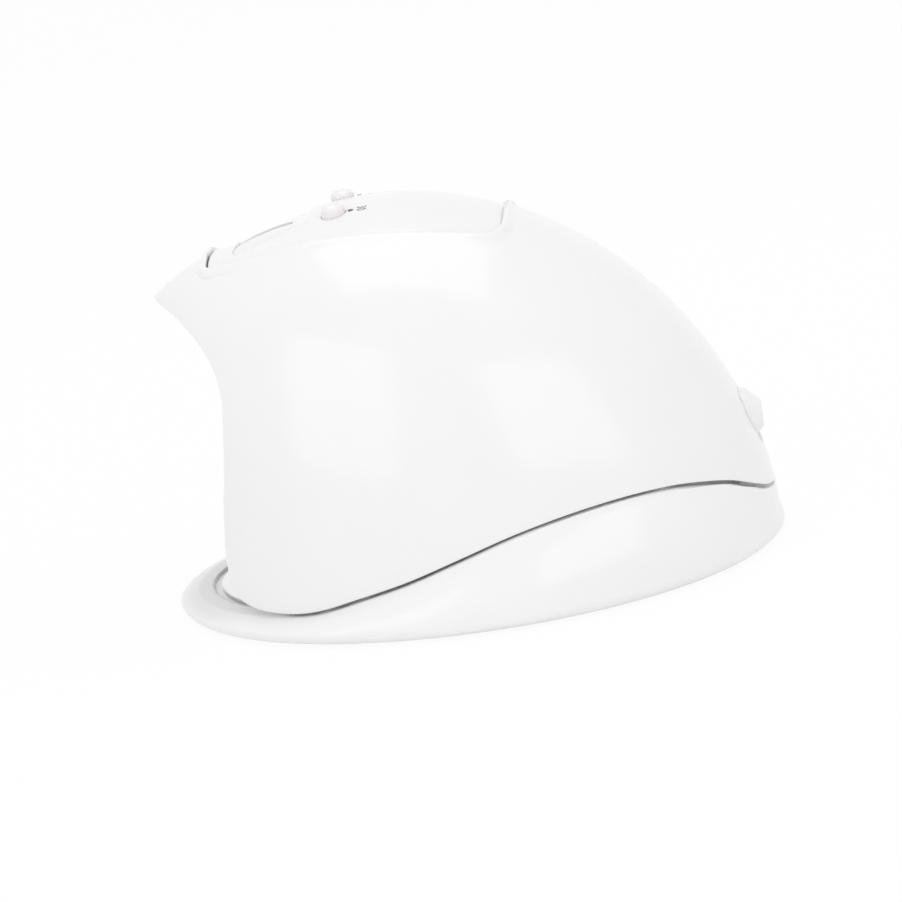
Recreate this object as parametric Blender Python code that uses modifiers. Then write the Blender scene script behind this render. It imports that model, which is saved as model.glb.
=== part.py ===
"""Gel nail lamp: a helmet-shaped head with two timer buttons, lifted off a magnetic base tray.

Metres, +Z up, +Y to the rear. The hand goes in at the front, towards +Y.
The origin is the middle of the base on the table.
"""

import math

import bmesh
import bpy
from mathutils import Matrix, Vector

# Base tray
BASE_LENGTH = 0.200
BASE_WIDTH = 0.163
FOOT_HEIGHT = 0.0009
BELT_HEIGHT = 0.0038
FRONT_RIM_HEIGHT = 0.0066
TRAY_SIDE_WALL = 0.0180
TRAY_FRONT_LIP = 0.0113
TRAY_REAR_WALL = 0.0140
TRAY_FLOOR_HEIGHT = 0.0055
TRAY_WALL = 0.0018
TRAY_FILLET = 0.0006
FLOOR_THICKNESS = 0.0020
COVER_THICKNESS = 0.0020
COVER_INSET = 0.0045
REFLECTOR_PLATE_THICKNESS = 0.0010
FOOT_RADIUS = 0.0060
COVER_SCREW_RADIUS = 0.0012
COVER_SCREW_LENGTH = 0.0080
SCREW_HEAD_RADIUS = 0.0024
SCREW_HEAD_HEIGHT = 0.0012
SCREW_BOSS_WALL = 0.0014
MAGNET_WIDTH = 0.0030
MAGNET_LENGTH = 0.0100
MAGNET_HEIGHT = 0.0025

# Head shell
SHELL_END_MARGIN = 0.0034
SHELL_SIDE_MARGIN = 0.0073
SHELL_HEIGHT = 0.1262
SHELL_CENTRE_Y = 0.0029
SHELL_WALL = 0.0024
SEAM_GAP = 0.0009

# Inner reflector
REFLECTOR_SIDE_GAP = 0.0102
REFLECTOR_CROWN_GAP = 0.0242
REFLECTOR_REAR_GAP = 0.0135
REFLECTOR_WALL = 0.0018
FLANGE_SETBACK = 0.0011
FLANGE_THICKNESS = 0.0020

# Light sources
STRIP_WIDTH = 0.0090
STRIP_THICKNESS = 0.0012
BEAD_RADIUS = 0.0026
BEAD_HEIGHT = 0.0046
BEADS_PER_STRIP = 4
SENSOR_RADIUS = 0.0022
SENSOR_LENGTH = 0.0060

# Control panel
PANEL_LENGTH = 0.0955
PANEL_WIDTH = 0.0646
PANEL_SINK = 0.0006
PANEL_THICKNESS = 0.0018
PANEL_LIP = 0.0025
PANEL_LIP_THICKNESS = 0.0015
DISPLAY_LENGTH = 0.0200
DISPLAY_WIDTH = 0.0260
DISPLAY_CORNER = 0.0040
WINDOW_MARGIN = 0.0022
WINDOW_THICKNESS = 0.0012
DISPLAY_MODULE_HEIGHT = 0.0050
BOARD_LENGTH = 0.0560
BOARD_WIDTH = 0.0440
BOARD_THICKNESS = 0.0016
BOARD_DEPTH = 0.0192
POST_RADIUS = 0.0024
POST_SCREW_RADIUS = 0.0010
POST_SCREW_LENGTH = 0.0050

# Timer buttons
BUTTON_RADIUS = 0.00385
BUTTON_PITCH = 0.0290
BUTTON_PROUD = 0.0034
BUTTON_CROWN = 0.0009
BUTTON_TRAVEL = 0.0008
BUTTON_COLLAR = 0.0007
BUTTON_COLLAR_HEIGHT = 0.0010
BUTTON_CLEARANCE = 0.0003
SWITCH_SIDE = 0.0060
SWITCH_HEIGHT = 0.0035
PLUNGER_RADIUS = 0.0015
LIGHT_PIPE_RADIUS = 0.0007
LIGHT_PIPE_PROUD = 0.0003

# Power inlet
INLET_SETBACK = 0.0023
INLET_FACE_RADIUS = 0.0046
INLET_CONE_RADIUS = 0.0088
INLET_CONE_DEPTH = 0.0045
INLET_BUSH_LENGTH = 0.0092
INLET_BORE_RADIUS = 0.0031
SOCKET_WIDTH = 0.0100
SOCKET_LENGTH = 0.0078
SOCKET_BORE_RADIUS = 0.0028
SOCKET_FLOOR = 0.0013
SOCKET_PIN_RADIUS = 0.0010
SOCKET_PIN_LENGTH = 0.0035
MAIN_BOARD_WIDTH = 0.0400
MAIN_BOARD_LENGTH = 0.0340
MAIN_BOARD_SETBACK = 0.0278

# Fits
CLEARANCE = 0.0003
OVERRUN = 0.0100

# Shares that shape the head, chosen on its side view
CROWN_PLACE_SHARE = -0.1936
SECTION_SQUARENESS = 2.4
REAR_FULLNESS = 1.8
FRONT_DROP_SHARE = 0.170
BEAK_DROP_SHARE = 0.022
BEAK_DROP_POWER = 10

# The edge of the head from the beak's tip, down the opening and back along the seam:
# shares of half the shell's length behind its centre, and of its height.
EDGE_SHARES = (
    (-1.120, 0.888), (-0.989, 0.8215), (-0.904, 0.7907), (-0.851, 0.7615),
    (-0.802, 0.7230), (-0.767, 0.6820), (-0.748, 0.6420), (-0.740, 0.5920),
    (-0.747, 0.5340), (-0.762, 0.4500), (-0.778, 0.3670), (-0.797, 0.2750),
    (-0.812, 0.1920), (-0.815, 0.1420), (-0.803, 0.1090), (-0.776, 0.0867),
    (-0.728, 0.0726), (-0.662, 0.0667), (-0.575, 0.0676), (-0.488, 0.0784),
    (-0.357, 0.1059), (-0.204, 0.1368), (-0.030, 0.1785), (0.134, 0.2152),
    (0.275, 0.2377), (0.406, 0.2510), (0.537, 0.2560), (0.663, 0.2502),
    (0.766, 0.2327), (0.849, 0.2085), (0.918, 0.1735), (0.962, 0.1468),
    (1.010, 0.1180), (1.120, 0.0500),
)
SEAM_START = 18

# Half widths of the control panel along its length, front to rear
PANEL_SHARES = (
    (0.000, 0.360), (0.012, 0.500), (0.061, 0.600), (0.130, 0.695),
    (0.238, 0.785), (0.343, 0.855), (0.447, 0.918), (0.549, 0.966),
    (0.680, 1.000), (0.776, 0.985), (0.869, 0.945), (0.932, 0.895),
    (0.970, 0.830), (0.992, 0.700), (1.000, 0.500),
)
PANEL_FRONT_SHARE = -0.763

# Where things sit, as shares of the sizes that they follow
BELT_SHARES = ((0.0190, 0.0), (0.0060, 0.62), (0.0, 1.0))
CREASE_SHARE = 0.36
BULGE_SHARES = (0.42, 0.55)
BUTTON_PLACE_SHARE = 0.45
LIGHT_PIPE_BACK_SHARE = 1.1
DISPLAY_PLACE_SHARE = 0.19
BOARD_PLACE_SHARE = 0.55
SHELL_SCREW_PLACE_SHARE = 0.44
POST_SPREAD_SHARE = 0.35
STRIP_MARGIN_SHARE = 0.35
LENS_CROWN_SHARE = 0.7
STEM_SHARE = 1.5
INLET_HEIGHT_SHARE = 0.30110935
MAIN_BOARD_HEIGHT_SHARE = 0.49128
STRIP_PLACE_SHARES = (-0.42, 0.02, 0.40)
STRIP_SPAN_SHARE = 0.56
MAGNET_PLACE_SHARES = (-0.22, 0.60)
COVER_SCREW_PLACE_SHARE = 0.34
FOOT_PLACE_SHARES = (0.27, 0.33)
SENSOR_PLACE_SHARES = (-0.50, 0.10)
MAIN_BOARD_TILT = math.radians(33)

# Sizes, places and levels that follow from the sizes above
TRAY_WIDTH = BASE_WIDTH - 2 * TRAY_SIDE_WALL
SHELL_LENGTH = BASE_LENGTH - 2 * SHELL_END_MARGIN
SHELL_WIDTH = BASE_WIDTH - 2 * SHELL_SIDE_MARGIN
REFLECTOR_WIDTH = SHELL_WIDTH - 2 * REFLECTOR_SIDE_GAP
REFLECTOR_HEIGHT = SHELL_HEIGHT - REFLECTOR_CROWN_GAP
BOARD_HEIGHT = SHELL_HEIGHT - BOARD_DEPTH
INLET_HEIGHT = INLET_HEIGHT_SHARE * SHELL_HEIGHT
MAIN_BOARD_HEIGHT = MAIN_BOARD_HEIGHT_SHARE * SHELL_HEIGHT
TRAY_FRONT = -BASE_LENGTH / 2 + TRAY_FRONT_LIP
TRAY_REAR = BASE_LENGTH / 2 - TRAY_REAR_WALL
SHELL_FRONT = SHELL_CENTRE_Y - SHELL_LENGTH / 2
SHELL_REAR = SHELL_CENTRE_Y + SHELL_LENGTH / 2
CROWN_Y = SHELL_CENTRE_Y + CROWN_PLACE_SHARE * SHELL_LENGTH / 2
PANEL_FRONT = SHELL_CENTRE_Y + PANEL_FRONT_SHARE * SHELL_LENGTH / 2
BUTTON_Y = PANEL_FRONT + BUTTON_PLACE_SHARE * PANEL_LENGTH
DISPLAY_Y = PANEL_FRONT + DISPLAY_PLACE_SHARE * PANEL_LENGTH
BOARD_Y = PANEL_FRONT + BOARD_PLACE_SHARE * PANEL_LENGTH
LIGHT_PIPE_Y = BUTTON_RADIUS * LIGHT_PIPE_BACK_SHARE + LIGHT_PIPE_RADIUS + CLEARANCE * 2
PANEL_UNDER = PANEL_SINK + PANEL_THICKNESS
LIP_TOP = SHELL_WALL + CLEARANCE
LIP_UNDER = LIP_TOP + PANEL_LIP_THICKNESS
BOARD_TOP = BOARD_HEIGHT + BOARD_THICKNESS / 2
INLET_FACE_Y = SHELL_REAR - INLET_SETBACK
MAIN_BOARD_Y = SHELL_REAR - MAIN_BOARD_SETBACK
INLET_BUSH_END_Y = INLET_FACE_Y - INLET_BUSH_LENGTH

# How finely the curves are stepped
STATIONS = 30
ARC_STEPS = 28
RIM_STEPS = 64
ROUND_STEPS = 16
SMALL_STEPS = 10
EDGE_STEPS = 3
CORNER_STEPS = 4
CAP_STEPS = 5
LENS_STEPS = 3
PLATE_STEP_SHARES = (0.0, 0.25, 0.45, 0.62, 0.76, 0.88, 1.0)
END_TURN = math.radians(2)
SHARP_ANGLE = math.radians(35)
TRIAL_SHARE = 0.001
HALVINGS = 40
RIM_ROUNDS = 5
FRONT_EASE_POWER = 3


def clear_scene():
    """Starts from an empty scene."""
    for obj in list(bpy.data.objects):
        bpy.data.objects.remove(obj)


def collection_named(name):
    """A collection of this name, linked to the scene."""
    found = bpy.data.collections.new(name)
    bpy.context.scene.collection.children.link(found)
    return found


clear_scene()
LAMP = collection_named("gel_nail_lamp")
CUTTERS = collection_named("cutters")


def finish(name, colour, roughness, metallic=0.0, transmission=0.0):
    """A plain surface finish."""
    made = bpy.data.materials.new(name)
    made.use_nodes = True
    shader = made.node_tree.nodes["Principled BSDF"]
    shader.inputs["Base Color"].default_value = (*colour, 1.0)
    shader.inputs["Roughness"].default_value = roughness
    shader.inputs["Metallic"].default_value = metallic
    shader.inputs["Transmission Weight"].default_value = transmission
    return made


WHITE_GLOSS = finish("white_gloss", (0.90, 0.90, 0.90), 0.18)
WHITE_SATIN = finish("white_satin", (0.86, 0.86, 0.86), 0.35)
BUTTON_WHITE = finish("button_white", (0.90, 0.87, 0.87), 0.25)
MIRROR_LINING = finish("mirror_lining", (0.82, 0.82, 0.84), 0.12, 0.9)
BOARD_GREEN = finish("board_green", (0.05, 0.25, 0.12), 0.45)
STRIP_WHITE = finish("strip_white", (0.80, 0.81, 0.80), 0.4)
LENS_CLEAR = finish("lens_clear", (0.86, 0.84, 0.92), 0.08, 0.0, 0.6)
SMOKED_WINDOW = finish("smoked_window", (0.05, 0.05, 0.06), 0.10)
BLACK_PLASTIC = finish("black_plastic", (0.03, 0.03, 0.03), 0.4)
STEEL = finish("steel", (0.60, 0.60, 0.62), 0.3, 1.0)
NICKEL = finish("nickel", (0.70, 0.70, 0.72), 0.2, 1.0)
RUBBER = finish("rubber", (0.75, 0.75, 0.75), 0.8)


def place_mesh(name, bm, material, cutter=False):
    """Turns a bmesh into an object in the lamp's or the cutters' collection."""
    bmesh.ops.recalc_face_normals(bm, faces=bm.faces)
    mesh = bpy.data.meshes.new(name)
    bm.to_mesh(mesh)
    bm.free()
    obj = bpy.data.objects.new(name, mesh)
    settle(obj, material, cutter)
    return obj


def settle(obj, material, cutter):
    """Links an object to its collection, with its finish or as a cutter."""
    if cutter:
        CUTTERS.objects.link(obj)
        obj.hide_render = True
        obj.display_type = "WIRE"
        return
    LAMP.objects.link(obj)
    obj.data.materials.append(material)
    obj.data.shade_smooth()
    obj.data.set_sharp_from_angle(angle=SHARP_ANGLE)


def boolean(obj, tool, operation):
    """Cuts, joins or keeps the common part of two closed shapes."""
    modifier = obj.modifiers.new(operation.lower(), "BOOLEAN")
    modifier.operation = operation
    modifier.solver = "EXACT"
    modifier.object = tool


def cut(obj, *tools):
    """Takes each tool's shape out of the object."""
    for tool in tools:
        boolean(obj, tool, "DIFFERENCE")


def loft(name, rings, material, cutter=False):
    """A closed solid through rings of equal point counts, flat at both ends."""
    bm = bmesh.new()
    rows = [[bm.verts.new(point) for point in ring] for ring in rings]
    count = len(rings[0])
    for lower, upper in zip(rows, rows[1:]):
        for i in range(count):
            j = (i + 1) % count
            bm.faces.new((lower[i], lower[j], upper[j], upper[i]))
    bm.faces.new(rows[0])
    bm.faces.new(rows[-1])
    return place_mesh(name, bm, material, cutter)


def closed_loft(name, rings, material, cutter=False):
    """A ring-shaped or disc-shaped solid: sections side by side, the last joined to the first."""
    bm = bmesh.new()
    shared = {}
    rows = []
    for ring in rings:
        for point in ring:
            if tuple(point) not in shared:
                shared[tuple(point)] = bm.verts.new(point)
        rows.append([shared[tuple(point)] for point in ring])
    count = len(rings[0])
    for k, row in enumerate(rows):
        following = rows[(k + 1) % len(rows)]
        for i in range(count):
            j = (i + 1) % count
            corners = []
            for vert in (row[i], row[j], following[j], following[i]):
                if vert not in corners:
                    corners.append(vert)
            if len(corners) > 2:
                bm.faces.new(corners)
    return place_mesh(name, bm, material, cutter)


def smooth_path(points, steps):
    """Points on a Catmull-Rom curve through the given ones."""
    path = []
    for i in range(1, len(points) - 2):
        a, b, c, d = (Vector(p) for p in points[i - 1:i + 3])
        for k in range(steps):
            t = k / steps
            path.append(0.5 * (2 * b + (c - a) * t + (2 * a - 5 * b + 4 * c - d) * t ** 2
                               + (3 * b - a - 3 * c + d) * t ** 3))
    path.append(Vector(points[-2]))
    return path


def profile_plate(name, outline, half_width, cutter=True):
    """A flat outline in the Y-Z plane, as thick as twice the half width along X."""
    curve = bpy.data.curves.new(name, "CURVE")
    curve.dimensions = "2D"
    curve.fill_mode = "BOTH"
    curve.extrude = half_width
    spline = curve.splines.new("POLY")
    spline.points.add(len(outline) - 1)
    for point, (y, z) in zip(spline.points, outline):
        point.co = (y, z, 0, 1)
    spline.use_cyclic_u = True
    upright = Matrix(((0, 0, 1, 0), (1, 0, 0, 0), (0, 1, 0, 0), (0, 0, 0, 1)))
    return from_curve(name, curve, upright, None, cutter)


def plan_plate(name, outline, low, high, cutter=True, material=None):
    """A flat outline in the X-Y plane between two heights."""
    curve = bpy.data.curves.new(name, "CURVE")
    curve.dimensions = "2D"
    curve.fill_mode = "BOTH"
    curve.extrude = (high - low) / 2
    spline = curve.splines.new("POLY")
    spline.points.add(len(outline) - 1)
    for point, (x, y) in zip(spline.points, outline):
        point.co = (x, y, 0, 1)
    spline.use_cyclic_u = True
    return from_curve(name, curve, Matrix.Translation((0, 0, (low + high) / 2)), material, cutter)


def from_curve(name, curve, matrix, material, cutter):
    """A curve's evaluated shape as a welded mesh object."""
    source = bpy.data.objects.new(name + "_curve", curve)
    LAMP.objects.link(source)
    graph = bpy.context.evaluated_depsgraph_get()
    mesh = bpy.data.meshes.new_from_object(source.evaluated_get(graph))
    bpy.data.objects.remove(source)
    bm = bmesh.new()
    bm.from_mesh(mesh)
    bpy.data.meshes.remove(mesh)
    bmesh.ops.remove_doubles(bm, verts=bm.verts, dist=CLEARANCE / 100)
    bm.transform(matrix)
    return place_mesh(name, bm, material, cutter)


def turned(name, profile, material, cutter=False, steps=ROUND_STEPS):
    """A turned piece about its own Z: radius and height from the top down the outer side."""
    bm = bmesh.new()
    verts = [bm.verts.new((radius, 0, height)) for radius, height in profile]
    for a, b in zip(verts, verts[1:]):
        bm.edges.new((a, b))
    mesh = bpy.data.meshes.new(name)
    bm.to_mesh(mesh)
    bm.free()
    obj = bpy.data.objects.new(name, mesh)
    settle(obj, material, cutter)
    turn = obj.modifiers.new("turn", "SCREW")
    turn.steps = steps
    turn.render_steps = steps
    turn.use_merge_vertices = True
    turn.merge_threshold = CLEARANCE / 10
    turn.use_smooth_shade = True
    return obj


def cylinder(name, radius, low, high, material, cutter=False):
    """A round bar about its own Z, with fewer sides when it is slim."""
    steps = ROUND_STEPS if radius > FOOT_RADIUS / 2 else SMALL_STEPS
    profile = [(0, high), (radius, high), (radius, low), (0, low)]
    return turned(name, profile, material, cutter, steps)


def screw(name, radius, head_radius, head_low, head_high, top):
    """A screw that stands on its head."""
    profile = [(0, top), (radius, top), (radius, head_high), (head_radius, head_high),
               (head_radius, head_low), (0, head_low)]
    return turned(name, profile, STEEL, False, SMALL_STEPS)


def block(name, size, material, cutter=False):
    """A plain box about its own middle."""
    bm = bmesh.new()
    bmesh.ops.create_cube(bm, size=1.0)
    bmesh.ops.scale(bm, vec=size, verts=bm.verts)
    return place_mesh(name, bm, material, cutter)


# The two domes

def dome(width, front, rear, height, crown_y):
    """The sizes of a dome: its footprint is an ellipse, its side view falls from the crown."""
    return {
        "half_width": width / 2,
        "half_length": (rear - front) / 2,
        "centre": (front + rear) / 2,
        "height": height,
        "crown_y": crown_y,
        "front_reach": crown_y - front,
        "rear_reach": rear - crown_y,
    }


def shell_dome(inset):
    """The shell's outer surface, drawn in by the inset."""
    return dome(SHELL_WIDTH - 2 * inset, SHELL_FRONT, SHELL_REAR - inset,
                SHELL_HEIGHT - inset, CROWN_Y)


def reflector_dome(inset):
    """The inner reflector's outer surface, drawn in by the inset."""
    return dome(REFLECTOR_WIDTH - 2 * inset, SHELL_FRONT, SHELL_REAR - REFLECTOR_REAR_GAP - inset,
                REFLECTOR_HEIGHT - inset, CROWN_Y)


def width_at(sizes, y):
    """Half the dome's width at the table's height."""
    share = (y - sizes["centre"]) / sizes["half_length"]
    return sizes["half_width"] * math.sqrt(max(1 - share ** 2, 0))


def crown_at(sizes, y):
    """The dome's height on its middle line."""
    if y < sizes["crown_y"]:
        share = (sizes["crown_y"] - y) / sizes["front_reach"]
        drop = FRONT_DROP_SHARE * share ** 2 + BEAK_DROP_SHARE * share ** BEAK_DROP_POWER
        return sizes["height"] * (1 - drop)
    share = min((y - sizes["crown_y"]) / sizes["rear_reach"], 1)
    return sizes["height"] * math.sqrt(1 - share ** REAR_FULLNESS)


def height_at(sizes, x, y):
    """The dome's height over a point of the table."""
    share = min(abs(x) / max(width_at(sizes, y), CLEARANCE / 100), 1)
    return crown_at(sizes, y) * (1 - share ** SECTION_SQUARENESS) ** (1 / SECTION_SQUARENESS)


def dome_point(sizes, y, angle):
    """A point on the arch over y: angle 0 is the +X foot, a half turn the other."""
    across, up = math.cos(angle), math.sin(angle)
    power = 2 / SECTION_SQUARENESS
    return Vector((math.copysign(abs(across) ** power, across) * width_at(sizes, y), y,
                   abs(up) ** power * crown_at(sizes, y)))


def dome_normal(sizes, y, angle):
    """The outward direction there."""
    step = sizes["half_length"] * TRIAL_SHARE
    turn = math.pi * TRIAL_SHARE
    along = dome_point(sizes, y + step, angle) - dome_point(sizes, y - step, angle)
    around = dome_point(sizes, y, angle + turn) - dome_point(sizes, y, angle - turn)
    return along.cross(around).normalized()


def arch_stations(sizes):
    """Places along the dome, closer together towards its ends."""
    steps = [END_TURN + (math.pi - 2 * END_TURN) * i / STATIONS for i in range(STATIONS + 1)]
    return [sizes["centre"] - sizes["half_length"] * math.cos(angle) for angle in steps]


def dome_solid(name, sizes, material, cutter=False):
    """A solid dome, standing on the table's plane."""
    angles = [math.pi * i / ARC_STEPS for i in range(ARC_STEPS + 1)]
    rings = [[dome_point(sizes, y, angle) for angle in angles] for y in arch_stations(sizes)]
    return loft(name, rings, material, cutter)


def radius_at(sizes, direction, z):
    """How far from the origin the dome is in a plan direction, at height z."""
    near, far = 0.0, SHELL_LENGTH
    for _ in range(HALVINGS):
        middle = (near + far) / 2
        x, y = direction[0] * middle, direction[1] * middle
        inside = abs(y - sizes["centre"]) < sizes["half_length"] and height_at(sizes, x, y) > z
        near, far = (middle, far) if inside else (near, middle)
    return near


# The head's edge

def edge_point(shares):
    """A point of the edge, from its shares."""
    return (SHELL_CENTRE_Y + shares[0] * SHELL_LENGTH / 2, shares[1] * SHELL_HEIGHT)


EDGE = smooth_path([edge_point(shares) for shares in EDGE_SHARES], EDGE_STEPS)
SEAM = [edge_point(shares) for shares in EDGE_SHARES[SEAM_START:]]


def offset_edge(distance):
    """The edge moved into the head by a distance."""
    moved = []
    for i, point in enumerate(EDGE):
        before = EDGE[max(i - 1, 0)]
        after = EDGE[min(i + 1, len(EDGE) - 1)]
        along = (after - before).normalized()
        moved.append(point + Vector((-along.y, along.x)) * distance)
    return moved


def below_edge(name, distance):
    """Everything in front of and below the head's edge, moved into the head by a distance."""
    path = offset_edge(distance)
    rear = SHELL_REAR + OVERRUN
    front = SHELL_FRONT - OVERRUN * 2
    outline = [tuple(p) for p in path if p.x < rear]
    outline += [(rear + OVERRUN, path[-1].y), (rear + OVERRUN, -OVERRUN), (front, -OVERRUN)]
    outline.append((front, path[0].y))
    return profile_plate(name, outline, SHELL_WIDTH)


def above_edge(name, distance):
    """Everything behind and above the head's edge, moved into the head by a distance."""
    path = offset_edge(distance)
    rear = SHELL_REAR + OVERRUN * 2
    top = SHELL_HEIGHT + OVERRUN
    outline = [tuple(p) for p in path] + [(rear, path[-1].y), (rear, top), (path[0].x, top)]
    return profile_plate(name, outline, SHELL_WIDTH)


def seam_height(y):
    """The height of the head's seam over a place along the base, level in front of it."""
    start = SEAM[0]
    if y <= start[0]:
        front = -BASE_LENGTH / 2
        share = min((y - front) / (start[0] - front), 1)
        rise = start[1] - FRONT_RIM_HEIGHT - SEAM_GAP
        return FRONT_RIM_HEIGHT + SEAM_GAP + rise * share ** FRONT_EASE_POWER
    for (y0, z0), (y1, z1) in zip(SEAM, SEAM[1:]):
        if y <= y1:
            return z0 + (z1 - z0) * (y - y0) / (y1 - y0)
    return SEAM[-1][1]


# Base

def base_direction(angle):
    """A plan direction, a little eased so that points spread evenly along the rim."""
    point = Vector((BASE_WIDTH / 2 * math.cos(angle), BASE_LENGTH / 2 * math.sin(angle)))
    return point.normalized(), point.length


def tray_radius(direction, inset=0.0):
    """How far from the origin the tray's inner wall is."""
    centre = (TRAY_FRONT + TRAY_REAR) / 2
    a = (TRAY_REAR - TRAY_FRONT) / 2 - inset
    b = TRAY_WIDTH / 2 - inset
    x, y = direction
    square = (x / b) ** 2 + (y / a) ** 2
    cross = y * centre / a ** 2
    rest = (centre / a) ** 2 - 1
    return (cross + math.sqrt(cross ** 2 - square * rest)) / square


def base_section(angle):
    """One section of the tray, from its foot up the outside, over the rim and in to the middle."""
    direction, reach = base_direction(angle)
    bottom = FOOT_HEIGHT + CLEARANCE
    outer_rim = reach
    for _ in range(RIM_ROUNDS):
        rim = seam_height(direction.y * outer_rim) - SEAM_GAP
        outer_rim = min(radius_at(shell_dome(0), direction, rim), reach - CLEARANCE * 2)
    inner = tray_radius(direction)
    floor = TRAY_FLOOR_HEIGHT
    crease = BELT_HEIGHT + (rim - BELT_HEIGHT) * CREASE_SHARE
    skin = TRAY_WALL
    under_rim = rim - skin
    points = []
    for inset_share, height_share in BELT_SHARES:
        points.append((reach * (1 - inset_share), bottom + (BELT_HEIGHT - bottom) * height_share))
    crease_reach = reach - CLEARANCE * 3
    points.append((crease_reach, crease))
    bulge = crease_reach + (outer_rim - crease_reach) * BULGE_SHARES[0]
    points.append((bulge, crease + (rim - crease) * BULGE_SHARES[1]))
    points.append((outer_rim, rim))
    points.append((inner, rim))
    points.append((inner - TRAY_FILLET, floor + TRAY_FILLET))
    points.append((inner - skin, floor))
    points.append((0, floor))
    points.append((0, floor - FLOOR_THICKNESS))
    channel_in = inner + skin
    channel_out = max(outer_rim - skin, channel_in + CLEARANCE)
    points.append((channel_in, floor - FLOOR_THICKNESS))
    points.append((channel_in, max(under_rim, floor - FLOOR_THICKNESS + CLEARANCE)))
    points.append((channel_out, max(under_rim, floor - FLOOR_THICKNESS + CLEARANCE)))
    points.append((reach - skin * 2, BELT_HEIGHT - CLEARANCE * 2))
    points.append((reach - COVER_INSET + CLEARANCE, bottom))
    return [(direction.x * r, direction.y * r, z) for r, z in points]


def tray_side(y):
    """Half the width between the tray's inner walls."""
    share = (y - (TRAY_FRONT + TRAY_REAR) / 2) / ((TRAY_REAR - TRAY_FRONT) / 2)
    return TRAY_WIDTH / 2 * math.sqrt(1 - share ** 2)


def channel_middle(y):
    """The middle of the hollow wall at one side of the tray."""
    outer = BASE_WIDTH / 2 * math.sqrt(1 - (2 * y / BASE_LENGTH) ** 2) - COVER_INSET
    return (outer + tray_side(y) + TRAY_WALL) / 2


def ellipse(half_x, half_y, centre_y=0.0, steps=RIM_STEPS):
    """An ellipse as a closed outline."""
    turn = 2 * math.pi / steps
    return [(half_x * math.cos(turn * i), centre_y + half_y * math.sin(turn * i))
            for i in range(steps)]


def seam_frame(y, distance):
    """A point at a distance above the seam (below when negative) and the seam's slope there."""
    step = SEAM_GAP
    slope = math.atan2(seam_height(y + step) - seam_height(y - step), 2 * step)
    return y - math.sin(slope) * distance, seam_height(y) + math.cos(slope) * distance, slope


def dome_side(sizes, y, z):
    """Half the dome's width over y, at height z."""
    share = min(z / crown_at(sizes, y), 1)
    return width_at(sizes, y) * (1 - share ** SECTION_SQUARENESS) ** (1 / SECTION_SQUARENESS)


def at(obj, location, rotation=None):
    """Puts an object in its place."""
    turn = rotation.to_4x4() if rotation else Matrix.Identity(4)
    obj.matrix_world = Matrix.Translation(location) @ turn
    return obj


def turn_x(angle):
    """A turn about X."""
    return Matrix.Rotation(angle, 3, "X")


def make_tray():
    """The base tray: one moulding with a raised hollow wall whose rim follows the head's seam."""
    turn = 2 * math.pi / RIM_STEPS
    tray = closed_loft("base_tray", [base_section(turn * i) for i in range(RIM_STEPS)], WHITE_GLOSS)
    floor_under = TRAY_FLOOR_HEIGHT - FLOOR_THICKNESS
    for name, x, y in screw_places():
        boss_top = seam_height(y) - SEAM_GAP - TRAY_WALL / 2
        radius = COVER_SCREW_RADIUS + CLEARANCE + SCREW_BOSS_WALL
        boss = cylinder(name + "_boss", radius, floor_under, boss_top, None, True)
        at(boss, (x, y, 0))
        boolean(tray, boss, "UNION")
        pilot_top = min(boss_top - TRAY_WALL, FOOT_HEIGHT + COVER_SCREW_LENGTH + CLEARANCE * 3)
        pilot = cylinder(name + "_pilot", COVER_SCREW_RADIUS + CLEARANCE, 0, pilot_top, None, True)
        at(pilot, (x, y, 0))
        cut(tray, pilot)
    return tray


def screw_places():
    """The base screws, in the hollow walls at both sides."""
    for side, name in ((1, "right"), (-1, "left")):
        for end, place in ((-1, "front"), (1, "rear")):
            y = end * COVER_SCREW_PLACE_SHARE * BASE_LENGTH / 2
            yield f"base_screw_{place}_{name}", side * channel_middle(y), y


def make_cover():
    """The flat cover that closes the tray from below, with its screws."""
    low = FOOT_HEIGHT + CLEARANCE
    outline = ellipse(BASE_WIDTH / 2 - COVER_INSET, BASE_LENGTH / 2 - COVER_INSET)
    cover = plan_plate("base_cover", outline, low, low + COVER_THICKNESS, False, WHITE_SATIN)
    head_low = low + CLEARANCE
    head_high = head_low + SCREW_HEAD_HEIGHT
    for name, x, y in screw_places():
        sink = cylinder(name + "_sink", SCREW_HEAD_RADIUS + CLEARANCE, 0, head_high + CLEARANCE / 2,
                        None, True)
        hole = cylinder(name + "_hole", COVER_SCREW_RADIUS + CLEARANCE, 0, OVERRUN, None, True)
        at(sink, (x, y, 0))
        at(hole, (x, y, 0))
        cut(cover, sink, hole)
        shank_top = min(head_low + COVER_SCREW_LENGTH,
                        seam_height(y) - SEAM_GAP - TRAY_WALL * 1.5 - CLEARANCE)
        at(screw(name, COVER_SCREW_RADIUS, SCREW_HEAD_RADIUS, head_low, head_high, shank_top),
           (x, y, 0))


def make_feet():
    """Four rubber feet under the cover."""
    for side, name in ((1, "right"), (-1, "left")):
        for end, place in ((-1, "front"), (1, "rear")):
            foot = turned(f"foot_{place}_{name}", [
                (0, FOOT_HEIGHT), (FOOT_RADIUS, FOOT_HEIGHT), (FOOT_RADIUS, FOOT_HEIGHT / 2),
                (FOOT_RADIUS - FOOT_HEIGHT / 2, 0), (0, 0)], RUBBER)
            at(foot, (side * FOOT_PLACE_SHARES[0] * BASE_WIDTH,
                      end * FOOT_PLACE_SHARES[1] * BASE_LENGTH, 0))


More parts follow.
